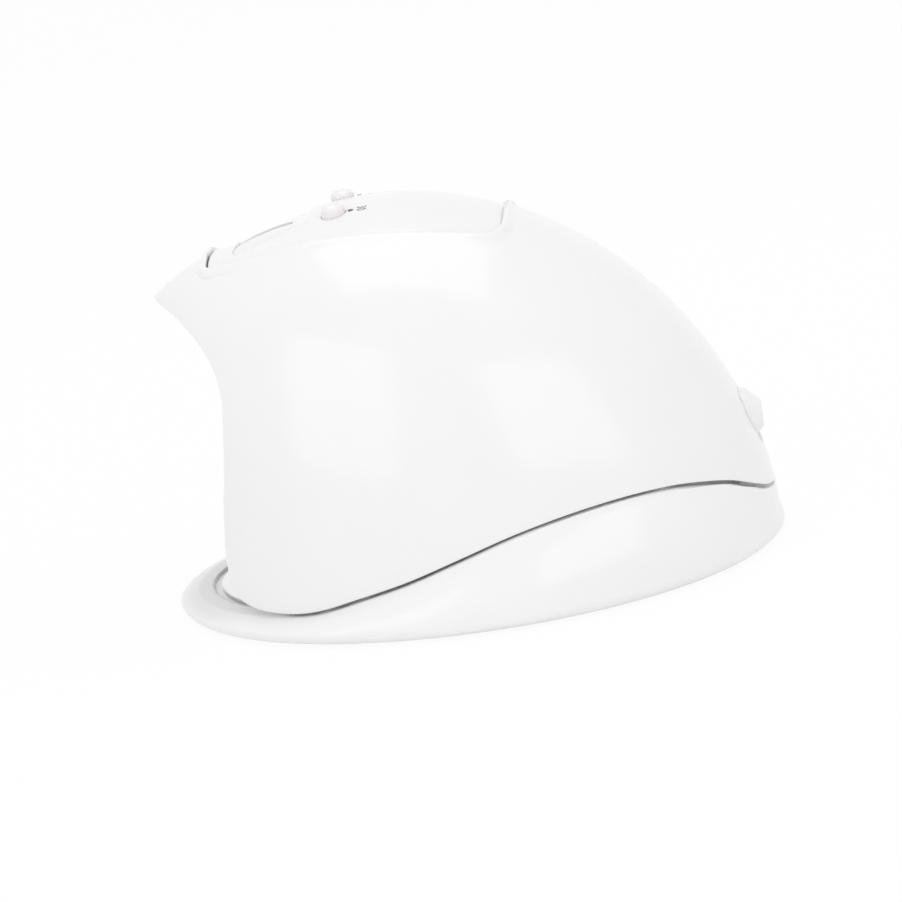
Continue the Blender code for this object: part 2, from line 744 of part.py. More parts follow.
def make_reflector_plate():
    """The bright plate laid on the tray's floor."""
    inset = TRAY_WALL + CLEARANCE * 3
    low = TRAY_FLOOR_HEIGHT + CLEARANCE
    outline = ellipse(TRAY_WIDTH / 2 - inset, (TRAY_REAR - TRAY_FRONT) / 2 - inset,
                      (TRAY_FRONT + TRAY_REAR) / 2)
    plan_plate("reflector_plate", outline, low, low + REFLECTOR_PLATE_THICKNESS, False,
               MIRROR_LINING)


def make_magnets():
    """Bar magnets in pairs: under the tray's rim, and on the flange of the head."""
    levels = (
        ("base", -SEAM_GAP - TRAY_WALL - CLEARANCE * 2 - MAGNET_HEIGHT / 2),
        ("head", FLANGE_SETBACK + FLANGE_THICKNESS + CLEARANCE + MAGNET_HEIGHT / 2),
    )
    for share, place in zip(MAGNET_PLACE_SHARES, ("front", "rear")):
        for part, distance in levels:
            y, z, slope = seam_frame(share * BASE_LENGTH / 2, distance)
            if part == "base":
                x, before, after = (
                    (dome_side(shell_dome(TRAY_WALL), b, z) + tray_side(b) + TRAY_WALL) / 2
                    for b in (y, y - MAGNET_LENGTH / 2, y + MAGNET_LENGTH / 2))
            else:
                x, before, after = (
                    (dome_side(shell_dome(SHELL_WALL), b, z) + dome_side(reflector_dome(0), b, z)) / 2
                    for b in (y, y - MAGNET_LENGTH / 2, y + MAGNET_LENGTH / 2))
            for side, name in ((1, "right"), (-1, "left")):
                magnet = block(f"{part}_magnet_{place}_{name}",
                               (MAGNET_WIDTH, MAGNET_LENGTH, MAGNET_HEIGHT), NICKEL)
                swing = Matrix.Rotation(side * math.atan2(before - after, MAGNET_LENGTH), 3, "Z")
                at(magnet, (side * x, y, z), swing @ turn_x(slope))


def panel_outline(grow=0.0):
    """The egg-shaped outline of the control panel, grown by a distance."""
    right = [(half * PANEL_WIDTH / 2, PANEL_FRONT + along * PANEL_LENGTH) for along, half in PANEL_SHARES]
    outline = right + [(-x, y) for x, y in reversed(right)]
    return grown(outline, grow)


def grown(outline, distance):
    """A closed outline moved outwards by a distance."""
    moved = []
    for i, point in enumerate(outline):
        before = Vector(outline[i - 1])
        after = Vector(outline[(i + 1) % len(outline)])
        along = (after - before).normalized()
        moved.append((point[0] + along.y * distance, point[1] - along.x * distance))
    return moved


def crown_plate(name, outline, top, bottom, material, cutter=False):
    """A plate that follows the crown between two insets from the shell's outer surface."""
    high, low = shell_dome(top), shell_dome(bottom)
    middle = (0, (min(y for _, y in outline) + max(y for _, y in outline)) / 2)
    sections = []
    for x, y in outline:
        spots = [(middle[0] + (x - middle[0]) * s, middle[1] + (y - middle[1]) * s)
                 for s in PLATE_STEP_SHARES]
        section = [(a, b, height_at(high, a, b)) for a, b in spots]
        section += [(a, b, height_at(low, a, b)) for a, b in reversed(spots)]
        sections.append(section)
    return closed_loft(name, sections, material, cutter)


def display_outline(grow=0.0):
    """The rounded window in the panel's front part."""
    middle = DISPLAY_Y
    half_x, half_y = DISPLAY_WIDTH / 2, DISPLAY_LENGTH / 2
    outline = []
    for turn, (sx, sy) in enumerate(((1, 1), (-1, 1), (-1, -1), (1, -1))):
        for k in range(CORNER_STEPS + 1):
            angle = (turn + k / CORNER_STEPS) * math.pi / 2
            outline.append((sx * (half_x - DISPLAY_CORNER) + DISPLAY_CORNER * math.cos(angle),
                            middle + sy * (half_y - DISPLAY_CORNER)
                            + DISPLAY_CORNER * math.sin(angle)))
    return grown(outline, grow)


def post_places():
    """The board's four posts under the panel."""
    for side, name in ((1, "right"), (-1, "left")):
        for end, place in ((-1, "front"), (1, "rear")):
            x = side * (BOARD_WIDTH / 2 - POST_RADIUS * 2)
            yield f"board_screw_{place}_{name}", x, BOARD_Y + end * (BOARD_LENGTH / 2 - POST_RADIUS * 2)


def button_sides():
    """The two timer buttons: their names and places."""
    for side, name in ((1, "right"), (-1, "left")):
        yield name, side * BUTTON_PITCH / 2, BUTTON_Y


def make_panel():
    """The control panel: an egg-shaped insert with a lip under the shell and posts for its board."""
    panel = crown_plate("control_panel", panel_outline(-CLEARANCE), PANEL_SINK, LIP_UNDER,
                        WHITE_GLOSS)
    lip = crown_plate("panel_lip", panel_outline(PANEL_LIP), LIP_TOP, LIP_UNDER, None, True)
    boolean(panel, lip, "UNION")
    hollow = crown_plate("panel_hollow", panel_outline(-PANEL_LIP), PANEL_UNDER,
                         LIP_UNDER + OVERRUN / 2, None, True)
    cut(panel, hollow)
    for name, x, y in post_places():
        top = height_at(shell_dome(PANEL_UNDER - PANEL_THICKNESS / 2), x, y) - POST_RADIUS / 4
        post = cylinder(name + "_post", POST_RADIUS, BOARD_TOP + CLEARANCE, top, None, True)
        at(post, (x, y, 0))
        boolean(panel, post, "UNION")
        pilot = cylinder(name + "_pilot", POST_SCREW_RADIUS + CLEARANCE, BOARD_TOP,
                         BOARD_HEIGHT + POST_SCREW_LENGTH + CLEARANCE, None, True)
        at(pilot, (x, y, 0))
        cut(panel, pilot)
    window_hole = plan_plate("window_hole", display_outline(), BOARD_HEIGHT,
                             SHELL_HEIGHT + OVERRUN)
    cut(panel, window_hole)
    for name, x, y in button_sides():
        hole = cylinder(name + "_button_hole", BUTTON_RADIUS + BUTTON_CLEARANCE, BOARD_TOP,
                        SHELL_HEIGHT + OVERRUN, None, True)
        at(hole, (x, y, 0))
        pipe_hole = cylinder(name + "_pipe_hole", LIGHT_PIPE_RADIUS + CLEARANCE, BOARD_TOP,
                             SHELL_HEIGHT + OVERRUN, None, True)
        at(pipe_hole, (x, y + LIGHT_PIPE_Y, 0))
        cut(panel, hole, pipe_hole)


def make_display():
    """The smoked window under the panel and the digit display below it."""
    top = PANEL_UNDER + CLEARANCE * 2
    crown_plate("display_window", display_outline(WINDOW_MARGIN), top, top + WINDOW_THICKNESS,
                SMOKED_WINDOW)
    under = shell_dome(top + WINDOW_THICKNESS + CLEARANCE)
    half_x = DISPLAY_WIDTH / 2 - CLEARANCE
    half_y = DISPLAY_LENGTH / 2 - CLEARANCE
    front, rear = DISPLAY_Y - half_y, DISPLAY_Y + half_y
    z_front, z_rear = height_at(under, half_x, front), height_at(under, half_x, rear)
    slope = math.atan2(z_rear - z_front, rear - front)
    module = block("display_module", (2 * half_x, 2 * half_y / math.cos(slope) - CLEARANCE * 4,
                                      DISPLAY_MODULE_HEIGHT), BLACK_PLASTIC)
    down = DISPLAY_MODULE_HEIGHT / 2 + CLEARANCE
    at(module, (0, DISPLAY_Y + math.sin(slope) * down,
                (z_front + z_rear) / 2 - math.cos(slope) * down), turn_x(slope))


def make_buttons():
    """Two sprung caps, each on a switch with its own plunger, and a light pipe behind each."""
    under = shell_dome(PANEL_UNDER)
    for name, x, y in button_sides():
        surface = height_at(shell_dome(PANEL_SINK), x, y)
        collar_radius = BUTTON_RADIUS + BUTTON_COLLAR
        collar = ellipse(collar_radius, collar_radius, y, ROUND_STEPS)
        collar_top = min(height_at(under, x + a, b) for a, b in collar) - CLEARANCE
        switch_low = BOARD_TOP + CLEARANCE
        switch_top = switch_low + SWITCH_HEIGHT
        plunger_top = switch_top + BUTTON_TRAVEL + CLEARANCE * 2
        top = surface + BUTTON_PROUD
        dome_low = top - BUTTON_CROWN
        cap_profile = [(BUTTON_RADIUS * math.sin(a), dome_low + BUTTON_CROWN * math.cos(a))
                       for a in (k * math.pi / 2 / CAP_STEPS for k in range(CAP_STEPS + 1))]
        stem = PLUNGER_RADIUS * STEM_SHARE
        cap_profile += [(BUTTON_RADIUS, collar_top), (collar_radius, collar_top),
                        (collar_radius, collar_top - BUTTON_COLLAR_HEIGHT),
                        (stem, collar_top - BUTTON_COLLAR_HEIGHT),
                        (stem, plunger_top + CLEARANCE), (0, plunger_top + CLEARANCE)]
        at(turned(f"timer_button_{name}", cap_profile, BUTTON_WHITE), (x, y, 0))
        switch = block(f"switch_{name}", (SWITCH_SIDE, SWITCH_SIDE, SWITCH_HEIGHT), BLACK_PLASTIC)
        at(switch, (x, y, switch_low + SWITCH_HEIGHT / 2))
        bore_low = switch_low + CLEARANCE * 2
        bore = cylinder(name + "_switch_bore", PLUNGER_RADIUS + CLEARANCE, bore_low,
                        switch_top + OVERRUN, None, True)
        at(bore, (x, y, 0))
        cut(switch, bore)
        plunger = cylinder(f"switch_plunger_{name}", PLUNGER_RADIUS,
                           bore_low + BUTTON_TRAVEL + CLEARANCE * 2, plunger_top, BUTTON_WHITE)
        at(plunger, (x, y, 0))
        pipe_y = y + LIGHT_PIPE_Y
        pipe_top = height_at(shell_dome(PANEL_SINK), x, pipe_y) + LIGHT_PIPE_PROUD
        pipe = cylinder(f"light_pipe_{name}", LIGHT_PIPE_RADIUS, BOARD_TOP + CLEARANCE, pipe_top,
                        LENS_CLEAR)
        at(pipe, (x, pipe_y, 0))


def make_panel_board():
    """The board under the panel and its four screws."""
    board = block("panel_board", (BOARD_WIDTH, BOARD_LENGTH, BOARD_THICKNESS), BOARD_GREEN)
    at(board, (0, BOARD_Y, BOARD_HEIGHT))
    head_high = BOARD_HEIGHT - BOARD_THICKNESS / 2 - CLEARANCE
    head_low = head_high - SCREW_HEAD_HEIGHT
    for name, x, y in post_places():
        hole = cylinder(name + "_hole", POST_SCREW_RADIUS + CLEARANCE,
                        BOARD_HEIGHT - OVERRUN, BOARD_HEIGHT + OVERRUN, None, True)
        at(hole, (x, y, 0))
        cut(board, hole)
        top = BOARD_HEIGHT + POST_SCREW_LENGTH
        at(screw(name, POST_SCREW_RADIUS, POST_SCREW_RADIUS * 2, head_low, head_high, top),
           (x, y, 0))


def shell_screw_places():
    """The two screws that hold the reflector in the shell, where the seam is level."""
    y = SHELL_SCREW_PLACE_SHARE * BASE_LENGTH / 2
    z = seam_height(y)
    x = (dome_side(shell_dome(SHELL_WALL), y, z) + dome_side(reflector_dome(0), y, z)) / 2
    for side, name in ((1, "right"), (-1, "left")):
        yield f"head_screw_{name}", side * x, y, z


def make_shell():
    """The outer shell: a dome cut along its opening and its seam, open for panel and inlet."""
    shell = dome_solid("head_shell", shell_dome(0), WHITE_GLOSS)
    cut(shell, below_edge("shell_edge", 0.0))
    cut(shell, dome_solid("shell_cavity", shell_dome(SHELL_WALL), None, True))
    cut(shell, plan_plate("panel_opening", panel_outline(), BOARD_HEIGHT - OVERRUN,
                          SHELL_HEIGHT + OVERRUN))
    hole = cylinder("inlet_hole", INLET_CONE_RADIUS + CLEARANCE, -OVERRUN * 3, OVERRUN, None, True)
    at(hole, (0, INLET_FACE_Y, INLET_HEIGHT), turn_x(-math.pi / 2))
    cut(shell, hole)
    limit = dome_solid("boss_limit", shell_dome(SHELL_WALL / 2), None, True)
    for name, x, y, z in shell_screw_places():
        low = z + FLANGE_SETBACK + FLANGE_THICKNESS + CLEARANCE
        boss = cylinder(name + "_boss", COVER_SCREW_RADIUS + CLEARANCE + SCREW_BOSS_WALL, low,
                        SHELL_HEIGHT, None, True)
        at(boss, (x, y, 0))
        boolean(boss, limit, "INTERSECT")
        boolean(shell, boss, "UNION")
        pilot = cylinder(name + "_pilot", COVER_SCREW_RADIUS + CLEARANCE, low - OVERRUN,
                         z + COVER_SCREW_LENGTH + FLANGE_SETBACK + CLEARANCE, None, True)
        at(pilot, (x, y, 0))
        cut(shell, pilot)
        head_low = z + CLEARANCE
        head_high = head_low + SCREW_HEAD_HEIGHT
        top = z + COVER_SCREW_LENGTH
        at(screw(name, COVER_SCREW_RADIUS, SCREW_HEAD_RADIUS, head_low, head_high, top), (x, y, 0))


def strip_angles():
    """Where the light beads sit round each arched strip."""
    first = math.pi * (1 - STRIP_SPAN_SHARE) / 2
    step = math.pi * STRIP_SPAN_SHARE / (BEADS_PER_STRIP - 1)
    return [first + step * i for i in range(BEADS_PER_STRIP)]


def facing(direction):
    """A turn that points Z along a direction."""
    return direction.to_track_quat("Z", "Y").to_matrix()


def make_reflector():
    """The bright inner dome, its flange along the head's edge, and the holes for beads and sensors."""
    reflector = dome_solid("inner_reflector", shell_dome(SHELL_WALL + CLEARANCE), MIRROR_LINING)
    cut(reflector, above_edge("flange_top", FLANGE_SETBACK + FLANGE_THICKNESS))
    boolean(reflector, dome_solid("reflector_body", reflector_dome(0), None, True), "UNION")
    board_normal = Vector((0, math.cos(MAIN_BOARD_TILT), math.sin(MAIN_BOARD_TILT)))
    board_middle = Vector((0, MAIN_BOARD_Y, MAIN_BOARD_HEIGHT))
    for side, name in ((1, "right"), (-1, "left")):
        post = cylinder(name + "_board_post", POST_RADIUS, -OVERRUN * 3,
                        -BOARD_THICKNESS / 2 - CLEARANCE, None, True)
        at(post, board_middle + Vector((side * MAIN_BOARD_WIDTH * POST_SPREAD_SHARE, 0, 0)),
           facing(board_normal))
        boolean(reflector, post, "UNION")
    cut(reflector, below_edge("flange_bottom", FLANGE_SETBACK))
    cut(reflector, dome_solid("reflector_cavity", reflector_dome(REFLECTOR_WALL), None, True))
    for name, x, y, z in shell_screw_places():
        hole = cylinder(name + "_way", SCREW_HEAD_RADIUS + CLEARANCE, z - OVERRUN / 2,
                        z + SCREW_HEAD_HEIGHT + CLEARANCE * 2, None, True)
        shank = cylinder(name + "_shank_way", COVER_SCREW_RADIUS + CLEARANCE, z - OVERRUN / 2,
                         z + OVERRUN, None, True)
        at(hole, (x, y, 0))
        at(shank, (x, y, 0))
        cut(reflector, hole, shank)
    body = reflector_dome(0)
    for k, share in enumerate(STRIP_PLACE_SHARES):
        strip_y = SHELL_CENTRE_Y + share * SHELL_LENGTH / 2
        make_strip(f"led_strip_{k + 1}", strip_y)
        for i, angle in enumerate(strip_angles()):
            seat = dome_point(body, strip_y, angle)
            inward = facing(-dome_normal(body, strip_y, angle))
            hole = cylinder(f"bead_hole_{k + 1}_{i + 1}", BEAD_RADIUS + CLEARANCE,
                            -REFLECTOR_WALL, REFLECTOR_WALL * 2, None, True)
            at(hole, seat, inward)
            cut(reflector, hole)
            make_bead(f"led_bead_{k + 1}_{i + 1}", seat, inward)
    sensor_y = SHELL_CENTRE_Y + SENSOR_PLACE_SHARES[0] * SHELL_LENGTH / 2
    for name, angle in (("emitter", math.pi * SENSOR_PLACE_SHARES[1]),
                        ("receiver", math.pi * (1 - SENSOR_PLACE_SHARES[1]))):
        seat = dome_point(body, sensor_y, angle)
        inward = facing(-dome_normal(body, sensor_y, angle))
        hole = cylinder(f"{name}_hole", SENSOR_RADIUS + CLEARANCE, -REFLECTOR_WALL * 2,
                        REFLECTOR_WALL * 3, None, True)
        at(hole, seat, inward)
        cut(reflector, hole)
        sensor = cylinder(f"sensor_{name}", SENSOR_RADIUS, REFLECTOR_WALL + CLEARANCE - SENSOR_LENGTH,
                          REFLECTOR_WALL + CLEARANCE, BLACK_PLASTIC)
        at(sensor, seat, inward)


def make_strip(name, y):
    """An arched strip of board over the reflector, which the beads of one row sit on."""
    angles = strip_angles()
    margin = (angles[1] - angles[0]) * STRIP_MARGIN_SHARE
    first, last = angles[0] - margin, angles[-1] + margin
    inner = reflector_dome(-CLEARANCE * 2)
    outer = reflector_dome(-CLEARANCE * 2 - STRIP_THICKNESS)
    steps = ARC_STEPS
    rings = []
    for i in range(steps + 1):
        angle = first + (last - first) * i / steps
        rings.append([dome_point(inner, y - STRIP_WIDTH / 2, angle),
                      dome_point(inner, y + STRIP_WIDTH / 2, angle),
                      dome_point(outer, y + STRIP_WIDTH / 2, angle),
                      dome_point(outer, y - STRIP_WIDTH / 2, angle)])
    loft(name, rings, STRIP_WHITE)


def make_bead(name, seat, inward):
    """A light bead: a round body with a domed lens, through the reflector's wall."""
    shoulder = BEAD_HEIGHT - BEAD_RADIUS * LENS_CROWN_SHARE
    profile = [(BEAD_RADIUS * math.sin(a), shoulder + (BEAD_HEIGHT - shoulder) * math.cos(a))
               for a in (k * math.pi / 2 / LENS_STEPS for k in range(LENS_STEPS + 1))]
    profile += [(BEAD_RADIUS, -CLEARANCE), (0, -CLEARANCE)]
    at(turned(name, profile, LENS_CLEAR, False, SMALL_STEPS), seat, inward)


def make_inlet():
    """The power inlet at the back: a cone-shaped bush in the shell, and the socket behind it."""
    depth = INLET_FACE_Y - INLET_BUSH_END_Y
    bush = turned("inlet_bush", [
        (INLET_BORE_RADIUS, 0), (INLET_FACE_RADIUS, 0),
        (INLET_CONE_RADIUS, -INLET_CONE_DEPTH), (INLET_CONE_RADIUS, -depth),
        (INLET_BORE_RADIUS, -depth), (INLET_BORE_RADIUS, 0)], WHITE_GLOSS)
    backwards = turn_x(-math.pi / 2)
    at(bush, (0, INLET_FACE_Y, INLET_HEIGHT), backwards)
    socket = block("inlet_socket", (SOCKET_WIDTH, SOCKET_LENGTH, SOCKET_WIDTH), BLACK_PLASTIC)
    socket_rear = INLET_BUSH_END_Y - CLEARANCE
    at(socket, (0, socket_rear - SOCKET_LENGTH / 2, INLET_HEIGHT))
    bore = cylinder("socket_bore", SOCKET_BORE_RADIUS, -SOCKET_LENGTH + SOCKET_FLOOR, OVERRUN,
                    None, True)
    at(bore, (0, socket_rear, INLET_HEIGHT), backwards)
    cut(socket, bore)
    pin = cylinder("inlet_pin", SOCKET_PIN_RADIUS, -SOCKET_LENGTH + SOCKET_FLOOR + CLEARANCE,
                   -SOCKET_LENGTH + SOCKET_FLOOR + SOCKET_PIN_LENGTH, NICKEL)
    at(pin, (0, socket_rear, INLET_HEIGHT), backwards)


def make_main_board():
    """The driver board, leaning on two posts in the space behind the reflector."""
    board = block("main_board", (MAIN_BOARD_WIDTH, BOARD_THICKNESS, MAIN_BOARD_LENGTH), BOARD_GREEN)
    at(board, (0, MAIN_BOARD_Y, MAIN_BOARD_HEIGHT), turn_x(MAIN_BOARD_TILT))


make_tray()
make_cover()
make_feet()
make_reflector_plate()
make_magnets()
make_shell()
make_reflector()
make_panel()
make_display()
make_buttons()
make_panel_board()
make_inlet()
make_main_board()
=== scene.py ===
"""Looks of the gel nail lamp: smooth glossy mouldings, panel details, materials, camera and light.

Metres, in the frame of the CAD part. The hand goes in at the front, towards +Y.
"""

import math

import bmesh
import bpy
import numpy as np
from mathutils import Matrix, Vector


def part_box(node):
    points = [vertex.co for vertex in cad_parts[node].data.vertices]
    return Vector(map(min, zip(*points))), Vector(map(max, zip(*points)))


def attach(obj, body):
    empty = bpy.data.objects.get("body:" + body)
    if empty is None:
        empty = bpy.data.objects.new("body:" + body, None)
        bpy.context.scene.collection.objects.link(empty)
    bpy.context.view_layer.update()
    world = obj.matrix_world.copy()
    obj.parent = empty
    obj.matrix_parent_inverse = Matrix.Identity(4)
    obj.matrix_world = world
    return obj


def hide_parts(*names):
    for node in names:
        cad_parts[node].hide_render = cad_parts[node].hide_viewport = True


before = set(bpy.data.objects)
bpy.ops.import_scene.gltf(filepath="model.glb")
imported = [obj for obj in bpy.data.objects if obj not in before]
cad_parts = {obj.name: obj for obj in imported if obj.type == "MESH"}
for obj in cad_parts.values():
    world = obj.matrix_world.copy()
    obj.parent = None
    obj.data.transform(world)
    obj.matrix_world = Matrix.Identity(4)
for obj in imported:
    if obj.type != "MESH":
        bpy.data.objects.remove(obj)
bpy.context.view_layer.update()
bpy.context.scene.view_settings.view_transform = "Standard"

# The outer moulding of the head, 2.4 mm of glossy white plastic with a rolled lip round the
# hand opening and along the seam, and a raised bead round the panel that sits in its crown.

SHELL_LENGTH = 0.1932
SHELL_WIDTH = 0.1484
SHELL_HEIGHT = 0.1262
SHELL_CENTRE_Y = 0.0029
SHELL_WALL = 0.0024
SHELL_FRONT = SHELL_CENTRE_Y - SHELL_LENGTH / 2
SHELL_REAR = SHELL_CENTRE_Y + SHELL_LENGTH / 2
CROWN_Y = SHELL_CENTRE_Y - 0.1936 * SHELL_LENGTH / 2
SQUARENESS = 2.4
CLEARANCE = 0.0003
EDGE_SHARES = (
    (-1.120, 0.888), (-0.989, 0.8215), (-0.904, 0.7907), (-0.851, 0.7615),
    (-0.802, 0.7230), (-0.767, 0.6820), (-0.748, 0.6420), (-0.740, 0.5920),
    (-0.747, 0.5340), (-0.762, 0.4500), (-0.778, 0.3670), (-0.797, 0.2750),
    (-0.812, 0.1920), (-0.815, 0.1420), (-0.803, 0.1090), (-0.776, 0.0867),
    (-0.728, 0.0726), (-0.662, 0.0667), (-0.575, 0.0676), (-0.488, 0.0784),
    (-0.357, 0.1059), (-0.204, 0.1368), (-0.030, 0.1785), (0.134, 0.2152),
    (0.275, 0.2377), (0.406, 0.2510), (0.537, 0.2560), (0.663, 0.2502),
    (0.766, 0.2327), (0.849, 0.2085), (0.918, 0.1735), (0.962, 0.1468),
    (1.010, 0.1180), (1.120, 0.0500),
)
PANEL_LENGTH = 0.0955
PANEL_WIDTH = 0.0646
PANEL_FRONT = SHELL_CENTRE_Y - 0.763 * SHELL_LENGTH / 2
PANEL_SHARES = (
    (0.000, 0.360), (0.012, 0.500), (0.061, 0.600), (0.130, 0.695),
    (0.238, 0.785), (0.343, 0.855), (0.447, 0.918), (0.549, 0.966),
    (0.680, 1.000), (0.776, 0.985), (0.869, 0.945), (0.932, 0.895),
    (0.970, 0.830), (0.992, 0.700), (1.000, 0.500),
)


def dome(width, front, rear, height):
    """The sizes of one of the head's two domes."""
    return {"w": width / 2, "l": (rear - front) / 2, "c": (front + rear) / 2, "h": height,
            "front": CROWN_Y - front, "rear": rear - CROWN_Y}


def shell_dome(inset):
    """The shell's outer surface, drawn in by the inset."""
    return dome(SHELL_WIDTH - 2 * inset, SHELL_FRONT, SHELL_REAR - inset, SHELL_HEIGHT - inset)


def width_at(d, y):
    """Half the dome's width at the table's height."""
    return d["w"] * np.sqrt(np.clip(1 - ((y - d["c"]) / d["l"]) ** 2, 1e-9, 1))


def crown_at(d, y):
    """The dome's height on its middle line."""
    s = np.clip((CROWN_Y - y) / d["front"], 0, None)
    t = np.clip((y - CROWN_Y) / d["rear"], 0, 1)
    fore = 1 - 0.17 * s ** 2 - 0.022 * s ** 10
    return d["h"] * np.where(y < CROWN_Y, fore, np.sqrt(np.clip(1 - t ** 1.8, 1e-9, 1)))


def side_at(d, y, z):
    """Half the dome's width over y, at height z."""
    share = np.clip(z / crown_at(d, y), 0, 1)
    return width_at(d, y) * (1 - share ** SQUARENESS) ** (1 / SQUARENESS)


def height_at(d, x, y):
    """The dome's height over a point of the table."""
    share = np.clip(np.abs(x) / width_at(d, y), 0, 1)
    return crown_at(d, y) * (1 - share ** SQUARENESS) ** (1 / SQUARENESS)


def dome_point(d, y, turn):
    """A point on the arch over y: turn 0 is the +X foot, a half turn the other."""
    across, up = np.cos(turn), np.sin(turn)
    power = 2 / SQUARENESS
    return np.stack([np.sign(across) * np.abs(across) ** power * width_at(d, y),
                     y + 0 * turn, np.abs(up) ** power * crown_at(d, y)], -1)


def dome_normal(d, p):
    """The outward direction at points of the dome."""
    x, y, z = p[..., 0], p[..., 1], p[..., 2]
    e, step = SQUARENESS, 1e-5
    w, c = width_at(d, y), crown_at(d, y)
    dw = (width_at(d, y + step) - width_at(d, y - step)) / (2 * step)
    dc = (crown_at(d, y + step) - crown_at(d, y - step)) / (2 * step)
    ax, az = np.abs(x) / w, np.abs(z) / c
    n = np.stack([np.sign(x) * ax ** (e - 1) / w,
                  -ax ** e * dw / w - az ** e * dc / c, az ** (e - 1) / c], -1)
    return n / np.linalg.norm(n, axis=-1, keepdims=True)


def smooth_path(points, steps, closed=False):
    """Points on a Catmull-Rom curve through the given ones."""
    p = np.array(points, float)
    if closed:
        p = np.concatenate([p[-1:], p, p[:2]])
    t = (np.arange(steps) / steps)[:, None]
    rows = []
    for i in range(1, len(p) - 2):
        a, b, c, e = p[i - 1:i + 3]
        rows.append(0.5 * (2 * b + (c - a) * t + (2 * a - 5 * b + 4 * c - e) * t ** 2
                           + (3 * b - a - 3 * c + e) * t ** 3))
    path = np.concatenate(rows)
    return path if closed else np.concatenate([path, p[-2:-1]])


def spaced(path, count):
    """Evenly spaced points along a path."""
    run = np.concatenate([[0], np.cumsum(np.linalg.norm(np.diff(path, axis=0), axis=1))])
    want = np.linspace(0, run[-1], count)
    return np.stack([np.interp(want, run, path[:, k]) for k in range(path.shape[1])], 1)


EDGE = smooth_path([(SHELL_CENTRE_Y + y * SHELL_LENGTH / 2, z * SHELL_HEIGHT)
                    for y, z in EDGE_SHARES], 60)


def half_edge(d, distance, count):
    """The head's edge on a dome, from the beak's tip round the +X side to the rear."""
    along = np.gradient(EDGE, axis=0)
    along /= np.linalg.norm(along, axis=1, keepdims=True)
    path = EDGE + np.stack([-along[:, 1], along[:, 0]], 1) * distance
    gap = crown_at(d, path[:, 0]) - path[:, 1]
    gap[path[:, 0] > d["c"] + d["l"]] = -1
    inside = np.nonzero(gap > 0)[0]
    first, last = inside[0], inside[-1]
    ends = []
    for i, j in ((first, first - 1), (last, last + 1)):
        share = gap[i] / (gap[i] - gap[j])
        ends.append(path[i] + (path[j] - path[i]) * share)
    keep = np.concatenate([ends[:1], path[first:last + 1], ends[1:]])
    x = side_at(d, keep[:, 0], keep[:, 1])
    x[0] = x[-1] = 0
    return spaced(np.column_stack([x, keep]), count)


def both_sides(half):
    """A whole loop from its +X half: the mirrored half follows, ends shared."""
    mirrored = half[-2:0:-1] * np.array([-1, 1, 1])
    return np.concatenate([half, mirrored])


def panel_loop(grow):
    """The panel's outline, its +X half from front to rear, moved outwards."""
    right = [(half * PANEL_WIDTH / 2, PANEL_FRONT + along * PANEL_LENGTH)
             for along, half in PANEL_SHARES]
    whole = smooth_path(right + [(-x, y) for x, y in reversed(right)], 24, True)
    along = np.roll(whole, -1, 0) - np.roll(whole, 1, 0)
    along /= np.linalg.norm(along, axis=1, keepdims=True)
    return whole + np.stack([along[:, 1], -along[:, 0]], 1) * grow


def rim_at(outline, bearing):
    """Where a bearing from the crown meets an outline: 0 is the front, half a turn the rear."""
    turn = np.arctan2(outline[:, 0], CROWN_Y - outline[:, 1])
    order = np.argsort(turn)
    turn, ring = turn[order], outline[order]
    turn = np.concatenate([turn[-1:] - 2 * np.pi, turn, turn[:1] + 2 * np.pi])
    ring = np.concatenate([ring[-1:], ring, ring[:1]])
    return np.stack([np.interp(bearing, turn, ring[:, k]) for k in range(2)], -1)


def bearings(half):
    """Steadily growing bearings for a half loop's points."""
    raw = np.arctan2(half[:, 0], CROWN_Y - half[:, 1])
    rising = np.maximum.accumulate(raw)
    pad = len(half) // 9
    mirrored = np.concatenate([-rising[pad:0:-1], rising, 2 * np.pi - rising[-2:-pad - 2:-1]])
    kernel = np.hanning(2 * pad + 3)[1:-1]
    eased = np.convolve(mirrored, kernel / kernel.sum(), "valid")
    eased[0], eased[-1] = 0, np.pi
    return eased


def turn_of(d, p):
    """The arch turn at points of the dome."""
    up = np.clip(p[:, 2] / crown_at(d, p[:, 1]), 0, 1) ** (SQUARENESS / 2)
    across = np.clip(np.abs(p[:, 0]) / width_at(d, p[:, 1]), 0, 1) ** (SQUARENESS / 2)
    return np.arctan2(up, across)


def skin(d, half, rim, runs):
    """Rows of dome points from the rim to the edge, at runs that give each row's place."""
    start = np.column_stack([rim, height_at(d, rim[:, 0], rim[:, 1])])
    a, b = turn_of(d, start), turn_of(d, half)
    u = (1 - np.cos(np.linspace(0, np.pi, 240))) / 2
    y = rim[:, 1, None] + (half[:, 1] - rim[:, 1])[:, None] * u
    fine = dome_point(d, y, a[:, None] + (b - a)[:, None] * u)
    fine[0, :, 0] = fine[-1, :, 0] = 0
    length = np.linalg.norm(np.diff(fine, axis=1), axis=2)
    length = np.concatenate([np.zeros((len(half), 1)), np.cumsum(length, axis=1)], 1)
    columns = []
    for k in range(len(half)):
        want = runs(length[k, -1])
        columns.append(np.stack([np.interp(want, length[k], fine[k, :, i]) for i in range(3)], 1))
    return np.stack(columns)


def rounded(corner, towards_a, towards_b, radius, steps):
    """Points that round off a corner between two directions."""
    t = np.linspace(0, 1, steps)[None, :, None]
    r = np.broadcast_to(np.asarray(radius), (len(corner),))[:, None, None]
    a, b = corner[:, None] + towards_a[:, None] * r, corner[:, None] + towards_b[:, None] * r
    return (1 - t) ** 2 * a + 2 * t * (1 - t) * corner[:, None] + t ** 2 * b


def unit(v):
    """Vectors of length one."""
    return v / np.maximum(np.linalg.norm(v, axis=-1, keepdims=True), 1e-12)


